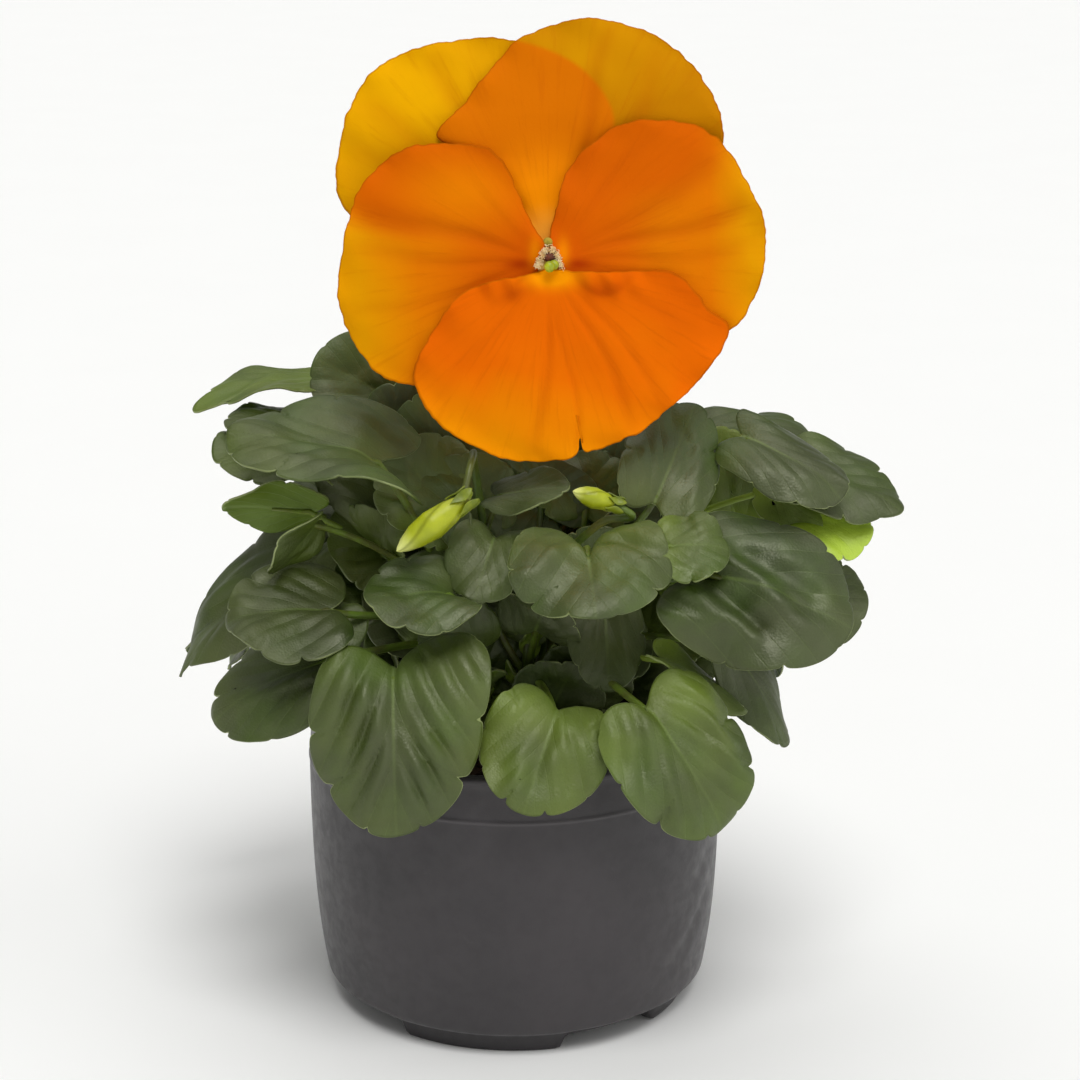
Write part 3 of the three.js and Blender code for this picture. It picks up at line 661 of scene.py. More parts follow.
leafColours = {
    "dark": (28, 42, 2),
    "mid": (48, 70, 4),
    "lime": (174, 202, 58),
    "dusk": (52, 58, 24),
    "olive": (66, 76, 12),
    "vein": (110, 132, 58),
    "margin": (150, 162, 104),
    "under": (70, 92, 44),
    "underVein": (120, 140, 74),
    "petiole": (92, 116, 34),
    "petioleRed": (70, 66, 30),
}


def leafColour(name):
    return seen(*leafColours[name])


def ridges(tree, vein):  # nought along each side vein, and 1 between them
    return calc(tree, "ABSOLUTE", calc(tree, "SINE", times(tree, vein, math.pi)))


def leafTopMaterial():
    material, tree, shader = newMaterial("leafTop", 0.5, Specular_IOR_Level=0.8,
                                         Specular_Tint=(1.0, 1.0, 0.8, 1))
    vein, rib, along, rim, fresh = (reading(tree, name) for name in leafLayers)
    mottle = between(tree, cloud(tree, 70, 4), 0.3, 0.72)
    colour = blend(tree, mottle, leafColour("dark"), leafColour("mid"))
    dull = between(tree, fresh, 0.0, 0.16, 0.6, 0)
    dusk = times(tree, dull, between(tree, cloud(tree, 30, 2), 0.35, 0.6))
    colour = blend(tree, dusk, colour, leafColour("dusk"))
    patches = between(tree, cloud(tree, 24, 3), 0.46, 0.72, 0, 0.6)
    colour = blend(tree, patches, colour, leafColour("olive"))
    low = between(tree, along, 0.0, 0.45, 1.3, 0.55)
    young = times(tree, between(tree, cloud(tree, 45, 2), 0.25, 0.7, 0.4, 1.2), low)
    colour = blend(tree, times(tree, fresh, young), colour, leafColour("lime"))
    wave = ridges(tree, vein)
    sideVein = times(tree, between(tree, wave, 0.01, 0.11, 0.08, 0), between(tree, rib, 0.3, 2.0))
    midVein = times(tree, between(tree, rib, 0.08, 0.6, 0.36, 0), between(tree, along, 0.1, 0.7, 1.0, 0.2))
    colour = blend(tree, calc(tree, "MAXIMUM", sideVein, midVein), colour, leafColour("vein"))
    edge = between(tree, rim, 0.99, 1.004)
    pale = times(tree, edge, between(tree, cloud(tree, 60, 2), 0.38, 0.62, 0.1, 0.8))
    colour = blend(tree, pale, colour, leafColour("margin"))
    paint(tree, shader, colour, between(tree, cloud(tree, 130, 4), 0.3, 0.7, 0.46, 0.6))
    place = node(tree, "TexCoord").outputs["Object"]
    cells = node(tree, "TexVoronoi", {"Vector": place, "Scale": 1750.0}).outputs["Distance"]
    net = node(tree, "TexVoronoi", {"Vector": place, "Scale": 330.0}, feature="DISTANCE_TO_EDGE")
    netted = between(tree, net.outputs["Distance"], 0.0, 0.2, 0, 0.14)
    height = calc(tree, "ADD", times(tree, cells, 0.8), netted)
    height = calc(tree, "ADD", height, between(tree, wave, 0, 0.2, 0, 0.6))
    relief(tree, shader, height, 0.45, 0.00014)
    return material


def leafUnderMaterial():
    material, tree, shader = newMaterial("leafUnder", 0.58, Specular_IOR_Level=0.35)
    fresh, vein, rib = (reading(tree, name) for name in ("fresh", "vein", "rib"))
    colour = patchy(tree, 90, 3, leafColours["under"], leafColours["mid"])
    colour = blend(tree, fresh, colour, leafColour("lime"))
    side = between(tree, ridges(tree, vein), 0.03, 0.22, 0.7, 0)
    lines = calc(tree, "MAXIMUM", side, between(tree, rib, 0.3, 1.2, 0.8, 0))
    paint(tree, shader, blend(tree, lines, colour, leafColour("underVein")))
    height = calc(tree, "ADD", lines, times(tree, cloud(tree, 900, 3), 0.6))
    relief(tree, shader, height, 0.5, 0.00025)
    return material


def petioleMaterial():
    material, tree, shader = newMaterial("petiole", 0.42, Specular_IOR_Level=0.5)
    streaks = between(tree, cloud(tree, 160, 4), 0.35, 0.7)
    colour = blend(tree, streaks, leafColour("petiole"), leafColour("petioleRed"))
    dark = between(tree, cloud(tree, 55, 2), 0.4, 0.65, 0, 0.5)
    colour = blend(tree, dark, colour, leafColour("dark"))
    colour = blend(tree, reading(tree, "fresh"), colour, leafColour("lime"))
    paint(tree, shader, colour)
    relief(tree, shader, cloud(tree, 1400, 3), 0.35, 0.0002)
    return material


def stemPath(azimuth):  # its points, and the radius at each
    form, joints = stemForm, stemForm["joints"]
    rise = form["top"] - form["foot"]
    path = [stemPoint(azimuth, form["foot"] + rise * i / joints) for i in range(joints + 1)]
    radii = [form["radius"] * (1.1 - 0.35 * i / joints) + 0.12 * (i % 3 == 0) for i in range(joints + 1)]
    return path, radii


def makeLeaves():
    addBackLeaves()
    top, under, stalks = leafTopMaterial(), leafUnderMaterial(), petioleMaterial()
    draw = random.Random(innerForm["seed"])
    for name, (azimuth, leaves) in leafyStems.items():
        blades, stems = bmesh.new(), bmesh.new()
        for layer in leafLayers:
            blades.verts.layers.float.new(layer)
        stems.verts.layers.float.new("fresh")
        for each in leaves + innerLeaves(azimuth, draw):
            addPetiole(stems, addBlade(blades, each), azimuth)
        sweep(stems, *stemPath(azimuth), stemForm["sides"])
        grown = "leafy_stem_" + name
        foliage = makePiece(blades, "leaves_" + name, [top, under], "leaf", grown)
        solidify = thicken(foliage, leafForm["thickness"])
        solidify.material_offset = 1
        solidify.use_rim = True
        makePiece(stems, "stems_" + name, [stalks], "stalk", grown)


makeLeaves()
print("leaves")


# pot: one thin wall, turned about its axis, with its foot ring dented at four notches

potForm = {
    "height": 75.7,
    "rim": 51.4,
    "band": 64,              # height of the line below the rim band
    "widest": 52.5,
    "wall": 1.2,
    "floor": 4.5,
    "footRadius": 43.8,
    "footInner": 40.6,
    "chamferTop": 49.2,
    "chamferHeight": 8.1,
    "steps": 216,
    "notches": 4,
    "notchSpan": 35,         # degrees, as the next one is
    "notchTurn": 123.5,
    "notchHeight": 3.6,
    "notchSide": 3,
    "holes": 6,
    "holeRadius": 3.2,
    "holeRing": 27,
    "uneven": 0.1,
    "creases": [(-33, 22, 0.75, 0.5), (-27, 40, 0.6, 0.4)],  # azimuth, height, lean and depth
}
potColours = {
    "low": (45, 42, 44),
    "high": (53, 49, 51),
    # foot: painted shade, darker on the downward-facing foot chamfer
    "foot": (30, 28, 30),
    # a painted highlight along the thin bead below the rim band
    "bandHighlight": (88, 84, 86),
    "scuffs": (78, 75, 77),
}


def wallRadius(height):
    form = potForm
    share = (height - form["chamferHeight"]) / (form["band"] - form["chamferHeight"])
    return form["widest"] - (form["widest"] - form["chamferTop"]) * (1 - share) ** 3


def potProfile():  # radius and height, from the middle of the underside round to the middle of the floor
    form = potForm
    wall, band, widest, top = form["wall"], form["band"], form["widest"], form["height"]
    floor, inner, foot = form["floor"], form["footInner"], form["footRadius"]
    chamfer, above, rim = form["chamferTop"], form["chamferHeight"], form["rim"]
    heights = [above + 1.5 + (band - 4 - above) * i / 22 for i in range(23)]
    outside = [
        (0, floor), (18, floor), (inner - 1.2, floor), (inner - 0.5, floor - 0.5), (inner, 0.6),
        (inner + 0.6, 0), (foot - 0.5, 0), (foot, 0.25), (foot + 0.3, 1.2), (foot + 1.0, 3.6),
        (foot + 1.9, 5.6), (foot + 2.5, 6.0), (chamfer - 1.6, 6.1), (chamfer - 0.7, 6.5),
        (chamfer - 0.2, 7.2), (chamfer, above),
    ]
    outside += [(wallRadius(height), height) for height in heights]
    outside += [
        (widest - 0.05, band - 1), (widest, band - 0.45), (widest + 0.16, band - 0.2),
        (widest + 0.2, band + 0.05), (widest + 0.1, band + 0.35), (widest - 0.1, band + 0.7),
        (widest - 0.16, band + 1.4), (widest - 0.3, band + 4), (widest - 0.5, top - 4),
        (widest - 0.5, top - 2.6), (widest - 0.35, top - 2.3), (widest - 0.05, top - 2.0),
        (widest - 0.1, top - 1), (widest - 0.5, top - 0.3), (rim - 0.1, top), (rim - 0.7, top - 0.1),
        (rim - wall, top - 0.5),
    ]
    inside = [(widest - wall - 0.5, band)]
    inside += [(wallRadius(height) - wall, height) for height in reversed(heights)]
    inside += [(chamfer - 2.5, floor + 2), (foot, floor + wall), (18, floor + wall), (0, floor + wall)]
    return outside + inside


def dentFoot(vert):
    form = potForm
    azimuth = math.degrees(math.atan2(vert.co.y, vert.co.x)) - form["notchTurn"]
    step = 360 / form["notches"]
    away = abs((azimuth + step / 2) % step - step / 2)
    share = clamp((form["notchSpan"] / 2 + form["notchSide"] / 2 - away) / form["notchSide"])
    share = share * share * (3 - 2 * share)
    low = form["notchHeight"] * share
    ring = clamp((vert.co.xy.length - form["footInner"] + 3) / 3)
    top = form["floor"] + 2.5
    if vert.co.z < top:
        vert.co.z += low * ring * (1 - vert.co.z / top)


def pressWall(vert):  # the thin sheet's slight unevenness, and two soft creases low on the right
    x, y, z = vert.co
    azimuth = math.degrees(math.atan2(y, x))
    uneven = potForm["uneven"] * noise.noise(Vector((x, y, z)) / 26)
    for across, low, lean, depth in potForm["creases"]:
        line = z - low - lean * (azimuth - across)
        uneven -= depth * bump(line, 2.6) * bump(azimuth - across - 4, 13)
    vert.co += Vector((x, y, 0)).normalized() * uneven * clamp((z - 7) / 8) * clamp((72 - z) / 6)


def potMaterial():
    material, tree, shader = newMaterial("potPlastic", 0.5, Specular_IOR_Level=0.5, Sheen_Weight=0.14,
                                         Sheen_Roughness=0.3)
    colour = patchy(tree, 26, 3, potColours["low"], potColours["high"])
    height = node(tree, "SeparateXYZ", {0: node(tree, "TexCoord").outputs["Object"]}).outputs["Z"]
    # painted shade: the foot chamfer below 6.8 mm, which faces down, is darkened
    foot = between(tree, height, 0.006, 0.0068, 0.5, 0)
    colour = blend(tree, foot, colour, seen(*potColours["foot"]))
    # painted highlight: a lighter line along the bead at the band's height
    away = calc(tree, "ABSOLUTE", calc(tree, "SUBTRACT", height, potForm["band"] * mm))
    colour = blend(tree, between(tree, away, 0.0002, 0.0007, 0.36, 0), colour, seen(*potColours["bandHighlight"]))
    scuffs = between(tree, cloud(tree, 210, 6, roughness=0.7), 0.62, 0.78, 0, 0.18)
    colour = blend(tree, scuffs, colour, seen(*potColours["scuffs"]))
    paint(tree, shader, colour, between(tree, cloud(tree, 300, 3), 0.3, 0.7, 0.42, 0.56))
    grain = calc(tree, "ADD", cloud(tree, 2600, 2), times(tree, cloud(tree, 260, 3), 0.4))
    relief(tree, shader, grain, 0.25, 0.00012)
    return material


def holeDrill():  # what is cut away at the drain holes
    form = potForm
    cutters = bmesh.new()
    for i in range(form["holes"]):
        x, y, _ = ringPoint(360 / form["holes"] * i, form["holeRing"], 0)
        place = Matrix.Translation((x, y, form["floor"] + form["wall"] / 2))
        bmesh.ops.create_cone(cutters, cap_ends=True, segments=32, radius1=form["holeRadius"],
                              radius2=form["holeRadius"], depth=8, matrix=place)
    return closeMesh(cutters, "drill", [])


def makePot():
    bm = bmesh.new()
    spun(bm, potProfile(), potForm["steps"])
    for vert in bm.verts:
        pressWall(vert)
        dentFoot(vert)
    pot = closeMesh(bm, "nurseryPot", [potMaterial()])
    drill = holeDrill()
    cut = pot.modifiers.new("holes", "BOOLEAN")
    cut.operation = "DIFFERENCE"
    cut.object = drill
    cut.solver = "EXACT"
    bpy.context.view_layer.update()
    drilled = bpy.data.meshes.new_from_object(pot.evaluated_get(bpy.context.evaluated_depsgraph_get()))
    pot.modifiers.clear()
    pot.data = drilled
    bpy.data.objects.remove(drill)
    fit(pot, "pot", "pot")


makePot()
print("pot")


# compost: a crumbly surface with bark crumbs and fibres on it

compostForm = {
    "radius": 49.6,
    "top": 66,
    "crown": 2.5,
    "edgeDrop": 4.5,
    "bottom": 6.2,
    "rings": 46,
    "steps": 150,
    "side": [(49, 50), (47, 20)],  # radius and height, from the top down
    "bottomRadius": 42,
    "crumbs": 420,
    "crumbSize": (0.5, 1.5),
    "crumbRing": 47,
    "fibres": 90,
    "fibreRadius": (0.14, 0.3),
    "fibreRing": 44,
    "seed": 5,
}


def compostHeight(x, y):
    ring = math.hypot(x, y) / compostForm["radius"]
    base = compostForm["top"] + compostForm["crown"] * (1 - ring ** 2) - compostForm["edgeDrop"] * ring ** 14
    rough = 1.5 * noise.noise(Vector((x, y, 3)) / 7) + 0.9 * noise.noise(Vector((x, y, 9)) / 2.6)
    return base + rough + 0.5 * noise.noise(Vector((x, y, 5)) / 1.1)


def compostMaterial():
    material, tree, shader = newMaterial("peat", 0.95, Specular_IOR_Level=0.2)
    clods = between(tree, cloud(tree, 260, 6, roughness=0.7), 0.35, 0.65)
    colour = blend(tree, clods, seen(22, 16, 12), seen(64, 46, 32))
    bark = between(tree, cloud(tree, 900, 4), 0.62, 0.75, 0, 0.7)
    colour = blend(tree, bark, colour, seen(104, 80, 56))
    paint(tree, shader, colour)
    relief(tree, shader, cloud(tree, 1300, 5, roughness=0.7), 0.9, 0.0006)
    return material


def addCrumbs(bm, draw):
    for _ in range(compostForm["crumbs"]):
        x, y, _ = ringPoint(draw.uniform(0, 360), compostForm["crumbRing"] * math.sqrt(draw.random()), 0)
        size = draw.uniform(*compostForm["crumbSize"])
        place = Matrix.Translation((x, y, compostHeight(x, y) + 0.2 * size))
        turned, lean = draw.uniform(0, 6), Vector((draw.random(), draw.random(), 1))
        turn = Matrix.Rotation(turned, 4, lean.normalized())
        shape = Matrix.Diagonal((size * draw.uniform(0.8, 2), size, size * draw.uniform(0.4, 0.8), 1))
        bmesh.ops.create_icosphere(bm, subdivisions=1, radius=1, matrix=place @ turn @ shape)


def addFibres(bm, draw):
    for _ in range(compostForm["fibres"]):
        x, y, _ = ringPoint(draw.uniform(0, 360), compostForm["fibreRing"] * math.sqrt(draw.random()), 0)
        heading = draw.uniform(0, 360)
        path = []
        for i in range(4):
            dx, dy, _ = ringPoint(heading + 25 * i * draw.uniform(-1, 1), 2.2 * i, 0)
            path.append(Vector((x + dx, y + dy, compostHeight(x, y) + 0.7 + 0.5 * math.sin(i))))
        sweep(bm, path, draw.uniform(*compostForm["fibreRadius"]), 4)


def makeCompost():
    form = compostForm
    draw = random.Random(form["seed"])
    profile = [(form["radius"] * (i / form["rings"]), form["top"]) for i in range(form["rings"] + 1)]
    profile += [*form["side"], (form["bottomRadius"], form["bottom"]), (0, form["bottom"])]
    bm = bmesh.new()
    spun(bm, profile, form["steps"])
    for vert in bm.verts:
        if vert.co.z > form["top"] - 1:
            vert.co.z = compostHeight(vert.co.x, vert.co.y)
    material = compostMaterial()
    makePiece(bm, "compostBody", [material], "compost", "compost")
    litter = bmesh.new()
    addCrumbs(litter, draw)
    addFibres(litter, draw)
    makePiece(litter, "compostCrumbs", [material], "compost", smooth=False)


makeCompost()
print("compost")


# flower: five petals in layers, facing forward and a little up

flowerForm = {
    "centre": (8.5, -38, 196.6),
    "tilt": 10.5,
    "spacing": 1.6,          # between the layers of petals
    "reflex": 0.0012,        # how fast the petals bend back
    "thickness": 0.5,
    "divisions": 88,
    "edgeRipple": 0.9,
    "edgeJitter": 0.4,
    "swell": 0.9,
}
tilt = math.radians(flowerForm["tilt"])
facing = Vector((0, -math.cos(tilt), math.sin(tilt)))
flowerUp = Vector((0, math.sin(tilt), math.cos(tilt)))


def flowerPoint(right, up, out):
    return Vector(flowerForm["centre"]) + Vector((1, 0, 0)) * right + flowerUp * up + facing * out


# layer 0 is in front; pale says where a petal turns yellow; creases are (azimuth, width, depth) about the
# throat; edges are in the flower's own plane
petals = {
    "upperLeft": {
        "layer": 3, "kind": "upper", "behind": [],
        "pale": lambda x, y: 0.65 + 0.3 * bump(x + 30, 14) * bump(y - 40, 14),
        "creases": [(118, 0.05, 0.5), (140, 0.06, 0.4), (152, 0.04, 0.3)],
        "edge": [
            (-0.5, 1), (-18, 6), (-36, 6), (-48, 13), (-48.5, 28), (-42.5, 42), (-33, 48.5), (-18, 51.5),
            (-4, 50), (8, 44), (15, 33), (11, 20), (4, 10)],
    },
    "upperRight": {
        "layer": 2, "kind": "upper", "behind": ["upperLeft"],
        "pale": lambda x, y: 0.4 * bump(x - 8, 14) * bump(y - 50, 12),
        "creases": [(74, 0.04, 0.5), (60, 0.05, 0.4)],
        "edge": [
            (0.5, 1), (-7, 14), (-16, 24), (-26, 29), (-20, 36), (-14.5, 43), (-6.5, 51.5), (6, 55.5),
            (18, 54.5), (28.5, 49.5), (37, 40), (40, 27), (34, 17), (18, 10)],
    },
    "lateralLeft": {
        "layer": 1, "kind": "lateral", "behind": ["upperLeft", "upperRight"],
        "pale": lambda x, y: clamp((-x - 30) / 14) * clamp((14 - y) / 8),
        "creases": [(163, 0.07, 1.0), (178, 0.05, 0.4), (196, 0.04, 0.3), (136, 0.05, 0.3)],
        "edge": [
            (-1, 1), (-4.5, 10), (-10, 22), (-16.5, 26.5), (-32, 26.5), (-43, 18), (-47.5, 4), (-48.5, -10),
            (-43, -22), (-34, -28), (-24, -26), (-13, -15)],
    },
    "lateralRight": {
        "layer": 1, "kind": "lateral", "behind": ["upperRight", "upperLeft"],
        "pale": lambda x, y: clamp((x - 37) / 10),
        "creases": [(16, 0.05, 0.7), (30, 0.08, 0.5), (4, 0.04, 0.3), (52, 0.05, 0.3)],
        "edge": [
            (1, 1), (2.5, 16), (6, 24), (11.5, 28.5), (17.5, 32), (31.5, 32), (40.5, 26.5), (48.8, 12),
            (49.8, 0), (47, -9), (41.7, -15.7), (32, -18), (18, -11)],
    },
    "lip": {
        "layer": 0, "kind": "lip", "behind": ["lateralLeft", "lateralRight"],
        "pale": lambda x, y: clamp((-y - 26 - 0.25 * x) / 20),
        "creases": [(-92, 0.03, 0.5), (-81, 0.02, 0.35), (-61, 0.035, 0.5), (-48, 0.03, 0.4),
                    (-128, 0.05, 0.3), (-22, 0.06, 0.4)],
        "edge": [
            (0, -1.5), (-7, -3.2), (-15.2, -4.8), (-22.3, -9.2), (-30.2, -21.4), (-30.6, -29.5),
            (-24, -38.2), (-11.3, -45), (-1, -45.9), (5.9, -44.6), (7.2, -40.6), (8.7, -43.6), (16.4, -41),
            (23.3, -37.5), (34.8, -26.7), (41.7, -15.7), (36.6, -10.6), (29, -2.5), (16, -2), (6, -2)],
    },
}
petalLayers = ("first", "second", "reach", "ray", "rim", "redFoldShade", "glow", "fold", "pale")


def creaseDepth(x, y, petal, share):
    out = math.hypot(x, y)
    azimuth = math.degrees(math.atan2(y, x))
    depth = 0
    start = clamp((out - 5) / 12)
    for across, width, each in petal["creases"]:
        away = math.radians((azimuth - across + 180) % 360 - 180 + 2.5 * math.sin(0.13 * out + across))
        depth += each * bump(away, width * (1 + 5 / (out + 3))) * start * (1 - share ** 5)
    return depth


def petalLift(x, y, petal, share):
    out = math.hypot(x, y)
    lift = -flowerForm["spacing"] * petal["layer"] - flowerForm["reflex"] * out * out
    lift += 0.7 * math.sin(0.11 * x + 0.5) * math.cos(0.13 * y) - creaseDepth(x, y, petal, share)
    lift += flowerForm["edgeRipple"] * share ** 6 * math.sin(0.3 * (x + 1.4 * y) + 0.6 * petal["layer"])
    lift += 0.4 * share ** 9 * noise.noise(Vector((x, y, 7 * petal["layer"])) / 3.5)
    lift += flowerForm["swell"] * min(1, out / 15) * noise.noise(Vector((x, y, 1.5 * petal["layer"])) / 13)
    if petal["kind"] == "upper":  # bent back where the laterals cover it
        lift -= 0.8 * min(1, out / 20) * clamp((34 - y) / 10)
    if petal["kind"] == "lip":  # its upper corners roll forward beside the throat, with a pucker in each
        roll = bump(abs(x - 1) - 13, 8) * bump(y + 4.5, 3.5)
        lift += roll * (1.6 + 0.7 * math.sin(1.1 * x + 0.4 * y))
    return lift


def prepareOutlines():
    for petal in petals.values():
        line = smoothLine([(x, y, 0) for x, y in petal["edge"]], 24, closed=True)
        if sum(a.x * b.y - b.x * a.y for a, b in zip(line, line[1:] + line[:1])) < 0:
            line.reverse()  # all edges run the same way round
        centre = sum(line, Vector()) / len(line)
        steps = np.array([(b - a).length for a, b in zip(line, line[1:] + line[:1])])
        petal["at"] = np.concatenate([[0], np.cumsum(steps)]) / steps.sum()
        petal["line"] = np.array([list(point.xy) for point in line + line[:1]])
        petal["centre"] = np.array(centre.xy)


def edgePoint(petal, share):
    share = share % 1
    return np.array([np.interp(share, petal["at"], petal["line"][:, k]) for k in (0, 1)])


def insideOf(petal, x, y):  # how far inside a petal's edge a point lies, about its centre
    spokes = petal["line"] - petal["centre"]
    turns = np.arctan2(spokes[:, 1], spokes[:, 0])
    order = np.argsort(turns)
    lengths = np.hypot(spokes[:, 0], spokes[:, 1])[order]
    dx, dy = x - petal["centre"][0], y - petal["centre"][1]
    edge = np.interp(math.atan2(dy, dx), turns[order], lengths, period=2 * math.pi)
    return edge - math.hypot(dx, dy)


def petalMarks(name, kind, x, y):  # the painted red shade in the folds of the lip's rolled corners beside the throat, and the yellow glow about the throat
    if kind == "upper":
        return 0, 0
    if kind == "lip":
        # painted shade in the folds of the lip's rolled upper corners beside the throat
        arc = y + 7.0 - 0.09 * (x - 12.6) ** 2
        redFoldShade = 0.5 * bump(x + 7.7, 3.6) * bump(y + 7.0 - 0.45 * (x + 8), 1.7)
        redFoldShade += 0.6 * bump(x + 5.5, 2.4) * bump(y + 3.3 - 0.5 * (x + 5.5), 0.9)
        redFoldShade += 0.62 * bump(x - 11.2, 6.5) * bump(arc, 2.6 if arc > 0 else 1.0)
        return redFoldShade, bump(x - 0.7, 5.6) * bump(y + 3.3, 2.4)
    # painted shade of the lip's folded corners, on the laterals just above the lip's edge
    redFoldShade = bump(y + 0.3, 1.3) * bump(abs(x) - 6.5, 3.6)
    glow = 0.4 * bump(abs(x) - 3.2, 1.5) * bump(y - 2.4, 3.4)
    if name == "lateralLeft":
        glow += 0.3 * bump(x + 20, 13) * bump(y - 16, 8)
    return redFoldShade, glow


def edgeNoise(x, y, layer, size):
    return noise.noise(Vector((x, y, layer)) / size)


def makePetal(name, petal, material):
    bm = bmesh.new()
    layers = [bm.verts.layers.float.new(key) for key in petalLayers]
    for vert in discGrid(bm, flowerForm["divisions"]):
        share = min(math.hypot(vert.co.x, vert.co.y), 1)
        edge = edgePoint(petal, math.atan2(vert.co.y, vert.co.x) / (2 * math.pi))
        spoke = edge - petal["centre"]
        jitter = edgeNoise(*edge, 4, 3.2) + 0.6 * edgeNoise(*edge, 8, 1.4)
        stretch = share * (1 + flowerForm["edgeJitter"] * jitter * share ** 8 / np.hypot(*spoke))
        x, y = petal["centre"] + spoke * stretch
        vert.co = flowerPoint(x, y, petalLift(x, y, petal, share))
        # behind: how far inside each petal behind a point lies, for the painted shade where light comes
        # through stacked petals
        behind = [insideOf(petals[other], x, y) for other in petal["behind"]] + [-9, -9]
        ray = math.atan2(y, -x if petal["kind"] == "lateral" and x < 0 else x)
        marks = petalMarks(name, petal["kind"], x, y)
        values = (max(behind[:2]), min(behind[:2]), math.hypot(x, y), ray, share, *marks,
                  creaseDepth(x, y, petal, share), petal["pale"](x, y))
        for layer, value in zip(layers, values):
            vert[layer] = float(value)
    thicken(makePiece(bm, name, [material], "petal", "bloom"), flowerForm["thickness"])


# colours of one petal, of two and three petals over each other (painted shade of backlight through stacked
# petals), at the throat, where a petal pales, round the throat
petalColours = {
    "upper": [(198, 126, 0), (221, 115, 0), (212, 102, 0), (244, 168, 58), (240, 176, 0), (251, 147, 0)],
    "lateral": [(226, 120, 0), (217, 98, 0), (208, 90, 0), (216, 88, 0), (226, 153, 0), (217, 96, 0)],
    "lip": [(236, 108, 0), (228, 100, 0), (222, 94, 0), (236, 106, 0), (240, 146, 0), (234, 105, 0)],
}
# the veins-and-creases colour is dark veins plus painted shade in the creases; the red colour is painted
# shade in the folded lip corners beside the throat; rim is painted shade along each petal's rolled edge;
# glow is the throat's yellow patch
petalMarkColours = {"veinsAndCreaseShade": (186, 74, 0), "redFoldShade": (170, 50, 0), "glow": (255, 156, 0), "rim": (176, 92, 0)}
overlapShadeEdge = {"upper": (-0.7, 0.9), "lateral": (-3, 8), "lip": (-6, 14)}  # how sharply the painted shade of petals behind shows


def petalMaterial(kind):
    single, twoLayerShade, threeLayerShade, base, light, near = (seen(*colour) for colour in petalColours[kind])
    material, tree, shader = newMaterial("petal_" + kind, 0.7, Specular_IOR_Level=0.03)
    first, second, reach, ray, rim, redFoldShade, glow, fold, pale = (reading(tree, name) for name in petalLayers)
    marks = {name: seen(*colour) for name, colour in petalMarkColours.items()}
    soft = between(tree, cloud(tree, 40, 2), 0.3, 0.7, -0.15, 0.15)
    colour = blend(tree, calc(tree, "ADD", pale, soft), single, light)
    # painted shade: deeper orange where one and two petals lie behind, as backlight through stacked petals
    colour = blend(tree, between(tree, first, *overlapShadeEdge[kind]), colour, twoLayerShade)
    colour = blend(tree, between(tree, second, *overlapShadeEdge[kind]), colour, threeLayerShade)
    colour = blend(tree, between(tree, reach, 13, 32, 0.9, 0), colour, near)
    colour = blend(tree, between(tree, reach, 4, 15, 0.9, 0), colour, base)
    lines = node(tree, "CombineXYZ", {0: times(tree, ray, 16.0), 1: times(tree, reach, 0.035)})
    veins = between(tree, cloud(tree, 1.6, 5, lines.outputs[0], 0.6), 0.5, 0.74, 0, 0.17)
    veins = times(tree, veins, between(tree, reach, 3, 14))
    # dark veins, and painted shade along the creases (the fold depth)
    veinsAndCreaseShade = calc(tree, "MINIMUM", calc(tree, "ADD", veins, times(tree, fold, 0.5)), 0.75)
    colour = blend(tree, veinsAndCreaseShade, colour, marks["veinsAndCreaseShade"])
    # painted red shade in the folds beside the throat
    colour = blend(tree, calc(tree, "MINIMUM", times(tree, redFoldShade, 0.85), 1.0), colour, marks["redFoldShade"])
    colour = blend(tree, calc(tree, "MINIMUM", times(tree, glow, 1.5), 1.0), colour, marks["glow"])
    # painted shade: a thin darker line along each petal's rolled edge
    colour = blend(tree, between(tree, rim, 0.98, 0.998, 0, 0.55), colour, marks["rim"])
    paint(tree, shader, colour)
    relief(tree, shader, calc(tree, "ADD", cloud(tree, 1700, 3), times(tree, veins, 5.0)), 0.35, 0.00014)
    through = node(tree, "BsdfTranslucent", {"Color": colour})
    mixed = node(tree, "MixShader", {0: 0.14, 1: shader.outputs[0], 2: through.outputs[0]})
    output = next(n for n in tree.nodes if n.type == "OUTPUT_MATERIAL")
    tree.links.new(mixed.outputs[0], output.inputs[0])
    return material


def makePetals():
    prepareOutlines()
    materials = {kind: petalMaterial(kind) for kind in petalColours}
    for name, petal in petals.items():
        makePetal(name, petal, materials[petal["kind"]])


makePetals()
print("petals")


# throat: the stigma's green ball, the brown anther cone above it and pale tufts at both sides

throatForm = {  # places are across, up and out of the flower's middle
    "anthers": (0.1, 1.3, 0.3),
    "antherRadius": 1.55,
    "stigma": (0.1, -0.9, 2.4),
    "stigmaRadius": 1.25,
    "stigmaSide": (1.1, -0.5, 1.5),
    "sideRadius": 1.15,
    "style": [(0, 0, -7), (0, 0, -2), (0.1, -0.7, 1.8)],
    "styleRadius": 0.7,
    "claw": (-0.3, 4.7, -0.9),
    "clawRadius": 1.0,
    "hairs": 420,
    "hairRadius": 0.085,
    "hairReach": (0.8, 1.9),
    "seed": 12,
}


def plainMaterial(name, light, dark, scale, roughness, height=0.3):
    material, tree, shader = newMaterial(name, roughness)
    paint(tree, shader, patchy(tree, scale, 4, light, dark))
    relief(tree, shader, cloud(tree, scale * 6, 3), height, 0.0002)
    return material


def ball(bm, place, radius, stretch=(1, 1, 1)):
    turn = facing.to_track_quat("Z", "Y").to_matrix().to_4x4()
    matrix = Matrix.Translation(place) @ turn @ Matrix.Diagonal((*stretch, 1))
    bmesh.ops.create_uvsphere(bm, u_segments=28, v_segments=18, radius=radius, matrix=matrix)


